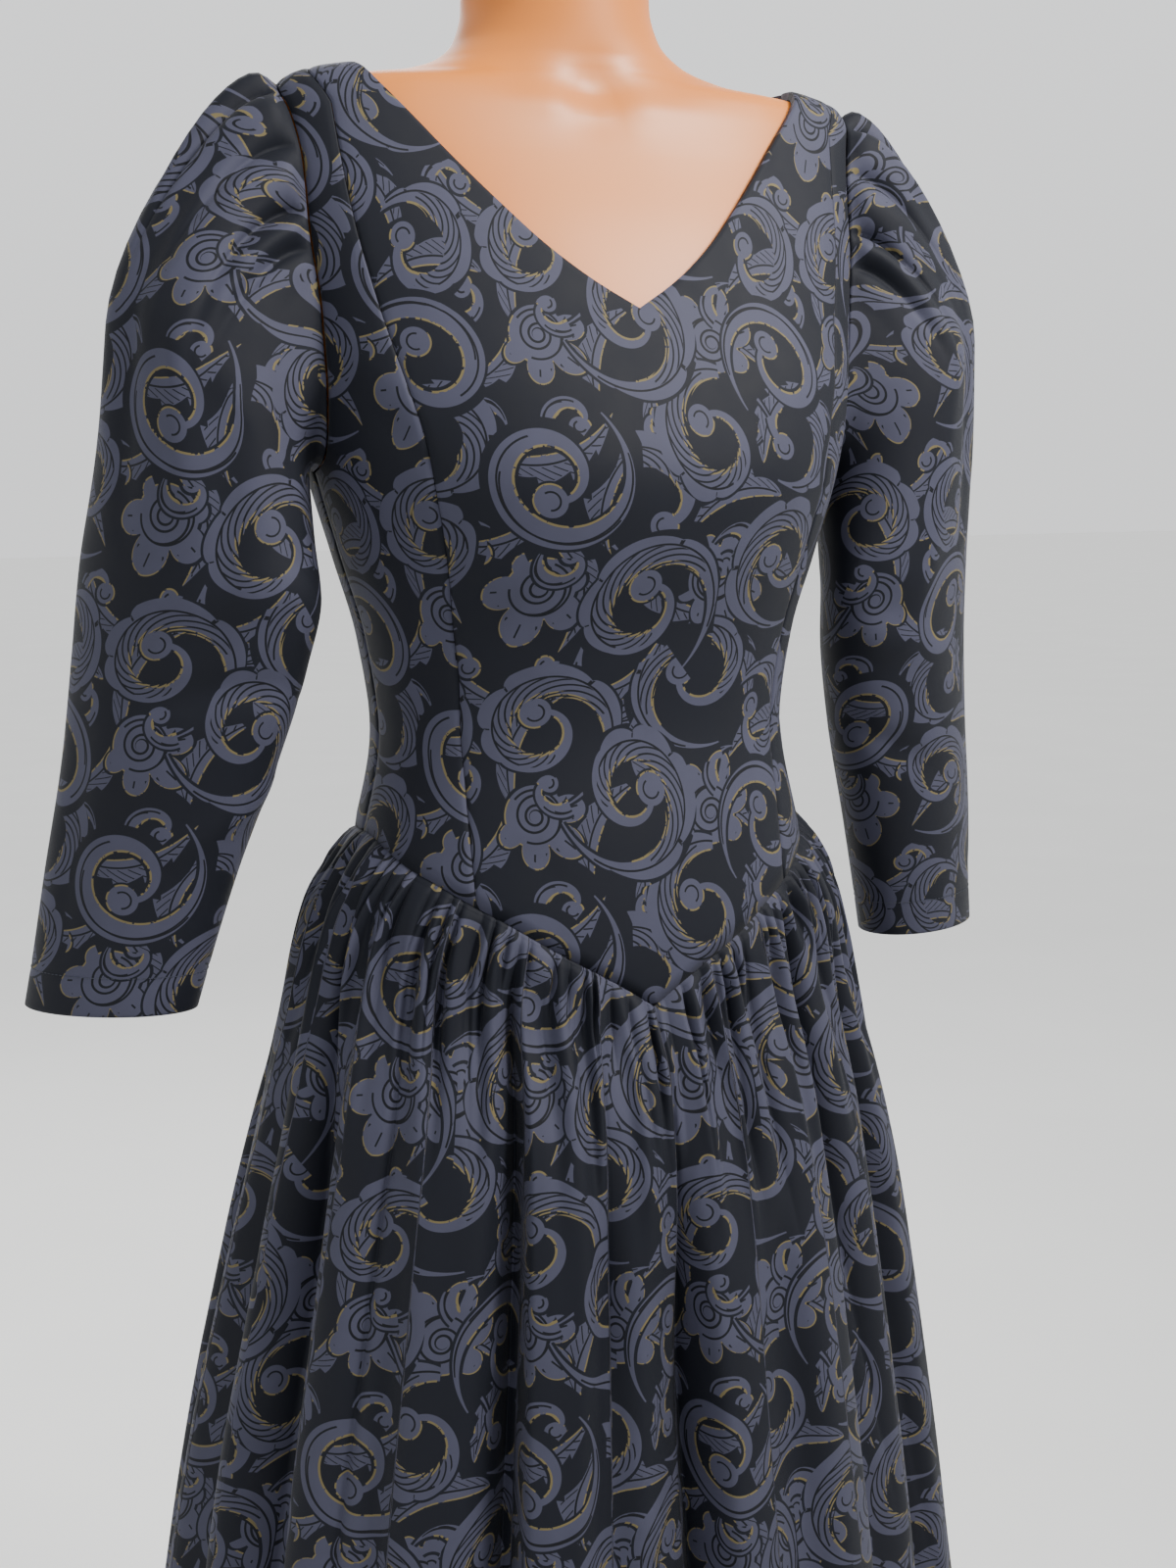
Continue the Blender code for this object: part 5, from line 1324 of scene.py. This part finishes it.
def enamelled_metal(name, hex_colour, low, high, metallic):
    """Sprayed metal: fine orange peel, and roughness that drifts a little."""
    material, tree, shader = new_material(name)
    place = add_node(tree, "ShaderNodeTexCoord").outputs["Object"]
    cloudy = add_node(tree, "ShaderNodeTexNoise", {"Vector": place, "Scale": 22.0, "Detail": 4.0})
    rough = add_node(tree, "ShaderNodeMapRange", {"Value": cloudy.outputs[0], "To Min": low, "To Max": high})
    tree.links.new(rough.outputs[0], shader.inputs["Roughness"])
    peel = add_node(tree, "ShaderNodeTexNoise", {"Vector": place, "Scale": 900.0, "Detail": 1.0})
    bump = add_node(tree, "ShaderNodeBump", {"Strength": 0.15, "Distance": 0.0001, "Height": peel.outputs[0]})
    tree.links.new(bump.outputs[0], shader.inputs["Normal"])
    shader.inputs["Base Color"].default_value = linear(hex_colour)
    shader.inputs["Metallic"].default_value = metallic
    return material


cotton = printed_cotton()
form_plastic = skin_plastic()
stand_enamel = enamelled_metal("black_sprayed_steel", "#16171a", 0.34, 0.50, 0.0)
zip_enamel = enamelled_metal("navy_enamelled_zip_metal", "#1c2332", 0.26, 0.40, 0.4)

# ---- Making the gown -----------------------------------------------------------------------------

side_front = side_front_grid()
back = back_grid()
pieces = {
    "bodice_centre_front": bodice_sheet("gown_bodice_centre_front", centre_front_grid(), (0.013, 0.021)),
    "bodice_side_front_left": bodice_sheet("gown_side_front_left", side_front, (0.071, 0.105)),
    "bodice_side_front_right": bodice_sheet("gown_side_front_right", mirrored(side_front), (0.129, 0.052)),
    "bodice_back_left": bodice_sheet("gown_back_left", back, (0.044, 0.150)),
    "bodice_back_right": bodice_sheet("gown_back_right", mirrored(back), (0.098, 0.083)),
    "sleeve_left": sleeve_sheet("gown_sleeve_left", 1, LEFT_SLEEVE_FOLDS, (0.031, 0.062)),
    "sleeve_right": sleeve_sheet("gown_sleeve_right", -1, RIGHT_SLEEVE_FOLDS, (0.112, 0.140)),
    "skirt_front": skirt_sheet("gown_skirt_front", 24, 72, (25, 28, 32, 37, 42, 46, 50, 54, 59, 64, 69), (0.0, 0.0)),
    "skirt_back_left": skirt_sheet("gown_skirt_back_left", 72, 96, (73, 78, 84, 90, 95), (0.05, 0.03)),
    "skirt_back_right": skirt_sheet("gown_skirt_back_right", 0, 24, (1, 6, 12, 18, 23), (0.02, 0.11)),
}
for node, piece in pieces.items():
    piece.data.materials.append(cotton)
    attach(piece, "gown_on_form")
    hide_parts(node)

torso = form_shell("dress_form_torso")
torso.data.materials.append(form_plastic)
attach(torso, "gown_on_form")
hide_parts("form_torso")
for node, finish in (("form_pole", stand_enamel), ("form_base", stand_enamel),
                     ("zip_slider", zip_enamel), ("zip_pull", zip_enamel)):
    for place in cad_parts[node].material_slots:
        place.material = finish

# ---- Stitches and the concealed zip --------------------------------------------------------------

def dyed_thread():
    """Navy sewing thread, twisted: fine slanting ridges and a slight sheen."""
    material, tree, shader = new_material("navy_sewing_thread")
    place = add_node(tree, "ShaderNodeTexCoord").outputs["Object"]
    twist = add_node(tree, "ShaderNodeTexWave", {"Vector": place, "Scale": 900.0, "Distortion": 0.5})
    tones = add_node(tree, "ShaderNodeValToRGB", {"Fac": twist.outputs["Fac"]})
    tones.color_ramp.elements[0].color = linear("#0f131c")
    tones.color_ramp.elements[1].color = linear("#222838")
    tree.links.new(tones.outputs["Color"], shader.inputs["Base Color"])
    bump = add_node(tree, "ShaderNodeBump", {"Strength": 0.4, "Distance": 0.0001, "Height": twist.outputs["Fac"]})
    tree.links.new(bump.outputs[0], shader.inputs["Normal"])
    shader.inputs["Roughness"].default_value = 0.55
    return material


def woven_tape():
    """Navy zip tape of close twill."""
    material, tree, shader = new_material("navy_woven_zip_tape")
    cloth_map = add_node(tree, "ShaderNodeUVMap", uv_map="Cloth")
    twill = add_node(tree, "ShaderNodeTexWave", {"Vector": cloth_map.outputs[0], "Scale": 420.0},
                     bands_direction="DIAGONAL")
    tones = add_node(tree, "ShaderNodeValToRGB", {"Fac": twill.outputs["Fac"]})
    tones.color_ramp.elements[0].color = linear("#0e1219")
    tones.color_ramp.elements[1].color = linear("#1b2130")
    tree.links.new(tones.outputs["Color"], shader.inputs["Base Color"])
    bump = add_node(tree, "ShaderNodeBump", {"Strength": 0.5, "Distance": 0.0001, "Height": twill.outputs["Fac"]})
    tree.links.new(bump.outputs[0], shader.inputs["Normal"])
    shader.inputs["Roughness"].default_value = 0.72
    return material


def row_tree():
    """Geometry Nodes: the same small bar again and again along a line, each along the line or across it."""
    tree = bpy.data.node_groups.new("bars_along_a_line", "GeometryNodeTree")
    tree.interface.new_socket(name="Line", in_out="INPUT", socket_type="NodeSocketGeometry")
    for name in ("Pitch", "Length", "Radius"):
        tree.interface.new_socket(name=name, in_out="INPUT", socket_type="NodeSocketFloat")
    tree.interface.new_socket(name="Across", in_out="INPUT", socket_type="NodeSocketBool")
    tree.interface.new_socket(name="Unevenness", in_out="INPUT", socket_type="NodeSocketFloat")
    tree.interface.new_socket(name="Material", in_out="INPUT", socket_type="NodeSocketMaterial")
    tree.interface.new_socket(name="Bars", in_out="OUTPUT", socket_type="NodeSocketGeometry")
    given = tree.nodes.new("NodeGroupInput").outputs
    line = add_node(tree, "GeometryNodeMeshToCurve", {0: given["Line"]})
    points = add_node(tree, "GeometryNodeCurveToPoints", {"Curve": line.outputs[0], "Length": given["Pitch"]},
                      mode="LENGTH")
    bar = add_node(tree, "GeometryNodeMeshCylinder", {"Vertices": 6, "Side Segments": 1, "Radius": given["Radius"],
                                                     "Depth": given["Length"]})
    along = add_node(tree, "FunctionNodeAlignRotationToVector", {"Vector": points.outputs["Tangent"]}, axis="Z")
    level = add_node(tree, "FunctionNodeAlignRotationToVector", {"Vector": (1.0, 0.0, 0.0)}, axis="Z")
    turned = add_node(tree, "GeometryNodeSwitch", {"Switch": given["Across"], "False": along.outputs[0],
                                                  "True": level.outputs[0]}, input_type="ROTATION")
    least = add_node(tree, "ShaderNodeMath", {0: 1.0, 1: given["Unevenness"]}, operation="SUBTRACT")
    size = add_node(tree, "FunctionNodeRandomValue", {2: least.outputs[0], 3: 1.0, "Seed": 7}, data_type="FLOAT")
    placed = add_node(tree, "GeometryNodeInstanceOnPoints", {
        "Points": points.outputs["Points"], "Instance": bar.outputs["Mesh"], "Rotation": turned.outputs[0],
        "Scale": size.outputs[1]})
    real = add_node(tree, "GeometryNodeRealizeInstances", {0: placed.outputs[0]})
    finished = add_node(tree, "GeometryNodeSetMaterial", {"Geometry": real.outputs[0], "Material": given["Material"]})
    add_node(tree, "NodeGroupOutput", {0: finished.outputs[0]})
    return tree


bars_tree = row_tree()


def bars_along(name, lines, pitch, length, radius, material, across=False, unevenness=0.12):
    """Stitches or zip coils along polylines, as one plain mesh."""
    verts, edges = [], []
    for line in lines:
        first = len(verts)
        verts.extend(np.asarray(line).tolist())
        edges.extend((k, k + 1) for k in range(first, len(verts) - 1))
    mesh = bpy.data.meshes.new(name)
    mesh.from_pydata(verts, edges, [])
    thing = bpy.data.objects.new(name, mesh)
    bpy.context.scene.collection.objects.link(thing)
    modifier = thing.modifiers.new("bars", "NODES")
    modifier.node_group = bars_tree
    wanted = {"Pitch": pitch, "Length": length, "Radius": radius, "Across": across, "Unevenness": unevenness,
              "Material": material}
    for socket in bars_tree.interface.items_tree:
        if socket.in_out == "INPUT" and socket.name in wanted:
            modifier[socket.identifier] = wanted[socket.name]
    made = thing.evaluated_get(bpy.context.evaluated_depsgraph_get())
    finished = bpy.data.meshes.new_from_object(made)
    thing.modifiers.remove(modifier)
    thing.data = finished
    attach(thing, "gown_on_form")
    return thing


def row_outward(rows, row):
    """Outward directions along one row of a sheet."""
    across = np.gradient(rows[row], axis=0)
    down = rows[row + 1] - rows[row - 1]
    outward = np.cross(down, across)
    return outward / np.linalg.norm(outward, axis=-1, keepdims=True)


def hem_line(name, above):
    """A line on a sheet at a given way up from its lower edge, just proud of the cloth."""
    rows = sheet_rows[name][:-4]
    lengths = lengths_across(rows.transpose(1, 0, 2)).T
    row = int(np.argmin(np.abs((lengths[-1] - lengths).mean(axis=1) - above)))
    return rows[row] + 0.00025 * row_outward(rows, row)


thread = dyed_thread()
tape_cloth = woven_tape()
stitch_lines = {
    "cuff_stitches_left": [hem_line("gown_sleeve_left", 0.022)],
    "cuff_stitches_right": [hem_line("gown_sleeve_right", 0.022)],
    "hem_stitches": [hem_line(name, 0.024) for name in
                     ("gown_skirt_front", "gown_skirt_back_left", "gown_skirt_back_right")],
}
STITCH_PITCH = 0.0030
STITCH_LENGTH = 0.0019
THREAD_RADIUS = 0.00024
for name, lines in stitch_lines.items():
    bars = bars_along(name, lines, STITCH_PITCH, STITCH_LENGTH, THREAD_RADIUS, thread)

# the zip: its tape runs down inside the centre back, with the coils along its middle
ZIP_TOP = 1.352
ZIP_FOOT = 0.985
ZIP_TAPE_HALF_WIDTH = 0.012
zip_heights = np.linspace(ZIP_TOP, ZIP_FOOT, 96)
zip_line = np.array([level_point(0.0, float(height), 1) for height in zip_heights])
zip_skin, zip_outward = on_figure(zip_line)
columns = np.linspace(-ZIP_TAPE_HALF_WIDTH, ZIP_TAPE_HALF_WIDTH, 9)[::-1]
tape_points = np.array([[level_point(float(x), float(height), 1) for x in columns] for height in zip_heights])
tape_skin, tape_outward = on_figure(tape_points)
tape_rows = tape_skin + 0.0006 * tape_outward
tape = cloth_sheet("zip_tape", tape_rows, laid_flat(tape_rows, 4, (0.0, 0.0)))
tape.data.materials.append(tape_cloth)
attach(tape, "gown_on_form")
coils = bars_along("zip_coils", [zip_skin + 0.0013 * zip_outward], 0.0014, 0.0042, 0.00048, zip_enamel, across=True,
                   unevenness=0.0)

# ---- A record for a sheet's cut, with none filled in -----------------------------------------------

# The cut's width and length and its flat area, with seam allowances, and how it is held.
CutOut = namedtuple("CutOut", "width length area held")

# ---- Floor, light and camera ---------------------------------------------------------------------

floor_mesh = bpy.data.meshes.new("floor")
FLOOR_REACH = 40.0
corners = [(x * FLOOR_REACH, y * FLOOR_REACH, -0.0005) for x, y in ((-1, -1), (1, -1), (1, 1), (-1, 1))]
floor_mesh.from_pydata(corners, [], [(0, 1, 2, 3)])
floor = bpy.data.objects.new("floor", floor_mesh)
bpy.context.scene.collection.objects.link(floor)
floor_paint, floor_tree, floor_shader = new_material("pale_studio_floor")
floor_place = add_node(floor_tree, "ShaderNodeTexCoord").outputs["Object"]
floor_clouds = add_node(floor_tree, "ShaderNodeTexNoise", {"Vector": floor_place, "Scale": 2.5, "Detail": 3.0})
floor_tones = add_node(floor_tree, "ShaderNodeValToRGB", {"Fac": floor_clouds.outputs[0]})
floor_tones.color_ramp.elements[0].color = linear("#e6e6e4")
floor_tones.color_ramp.elements[1].color = linear("#eeeeec")
floor_tree.links.new(floor_tones.outputs["Color"], floor_shader.inputs["Base Color"])
floor_shader.inputs["Roughness"].default_value = 0.85
floor_mesh.materials.append(floor_paint)


def soft_light(name, place, aim, size, watts, colour, spread=180.0):
    lamp = bpy.data.lights.new(name, "AREA")
    lamp.shape = "DISK"
    lamp.size = size
    lamp.energy = watts
    lamp.spread = math.radians(spread)
    lamp.color = colour
    thing = bpy.data.objects.new(name, lamp)
    thing.location = place
    thing.rotation_mode = "QUATERNION"
    thing.rotation_quaternion = (Vector(aim) - Vector(place)).to_track_quat("-Z", "Y")
    bpy.context.scene.collection.objects.link(thing)


soft_light("key_light", (0.95, -1.25, 2.45), (0.0, 0.0, 1.42), 0.6, 20, (1.0, 0.97, 0.93), 84.0)
soft_light("fill_light", (-2.6, -2.2, 1.7), (0.0, 0.0, 1.0), 2.4, 12, (0.93, 0.96, 1.0))
soft_light("back_light", (0.6, 2.8, 2.6), (0.0, 0.0, 1.1), 2.0, 45, (1.0, 1.0, 1.0))

world = bpy.data.worlds.new("pale_studio")
world.use_nodes = True
background = world.node_tree.nodes["Background"]
background.inputs["Color"].default_value = linear("#f0f1f2")
# a little dimmer towards the horizon, so that the wall meets the floor without a line
direction = add_node(world.node_tree, "ShaderNodeTexCoord").outputs["Generated"]
parts = add_node(world.node_tree, "ShaderNodeSeparateXYZ", {0: direction})
strength = add_node(world.node_tree, "ShaderNodeMapRange", {
    "Value": parts.outputs["Z"], "From Min": 0.0, "From Max": 0.25, "To Min": 1.30, "To Max": 1.44},
    interpolation_type="SMOOTHSTEP")
world.node_tree.links.new(strength.outputs[0], background.inputs["Strength"])
bpy.context.scene.world = world

VIEW_TURN = math.radians(-23.56)
VIEW_PITCH = math.radians(7.79)
VIEW_ROLL = math.radians(-0.69)
VIEW_DISTANCE = 1.299
VIEW_HEIGHT = 1.186
VIEW_SHIFT = 0.006
back_way = Vector((math.sin(VIEW_TURN), -math.cos(VIEW_TURN), 0.0))
across_way = Vector((math.cos(VIEW_TURN), math.sin(VIEW_TURN), 0.0))
lens = bpy.data.cameras.new("photo_camera")
lens.lens = 2221.8 / 1600 * 36.0
lens.sensor_width = 36.0
camera = bpy.data.objects.new("photo_camera", lens)
forward = -back_way * math.cos(VIEW_PITCH) - Vector((0, 0, 1)) * math.sin(VIEW_PITCH)
up = across_way.cross(forward)
right_edge = across_way * math.cos(VIEW_ROLL) + up * math.sin(VIEW_ROLL)
top_edge = up * math.cos(VIEW_ROLL) - across_way * math.sin(VIEW_ROLL)
camera.rotation_mode = "QUATERNION"
camera.rotation_quaternion = Matrix((right_edge, top_edge, -forward)).transposed().to_quaternion()
camera.location = back_way * VIEW_DISTANCE + across_way * VIEW_SHIFT + Vector((0, 0, VIEW_HEIGHT))
bpy.context.scene.collection.objects.link(camera)
bpy.context.scene.camera = camera
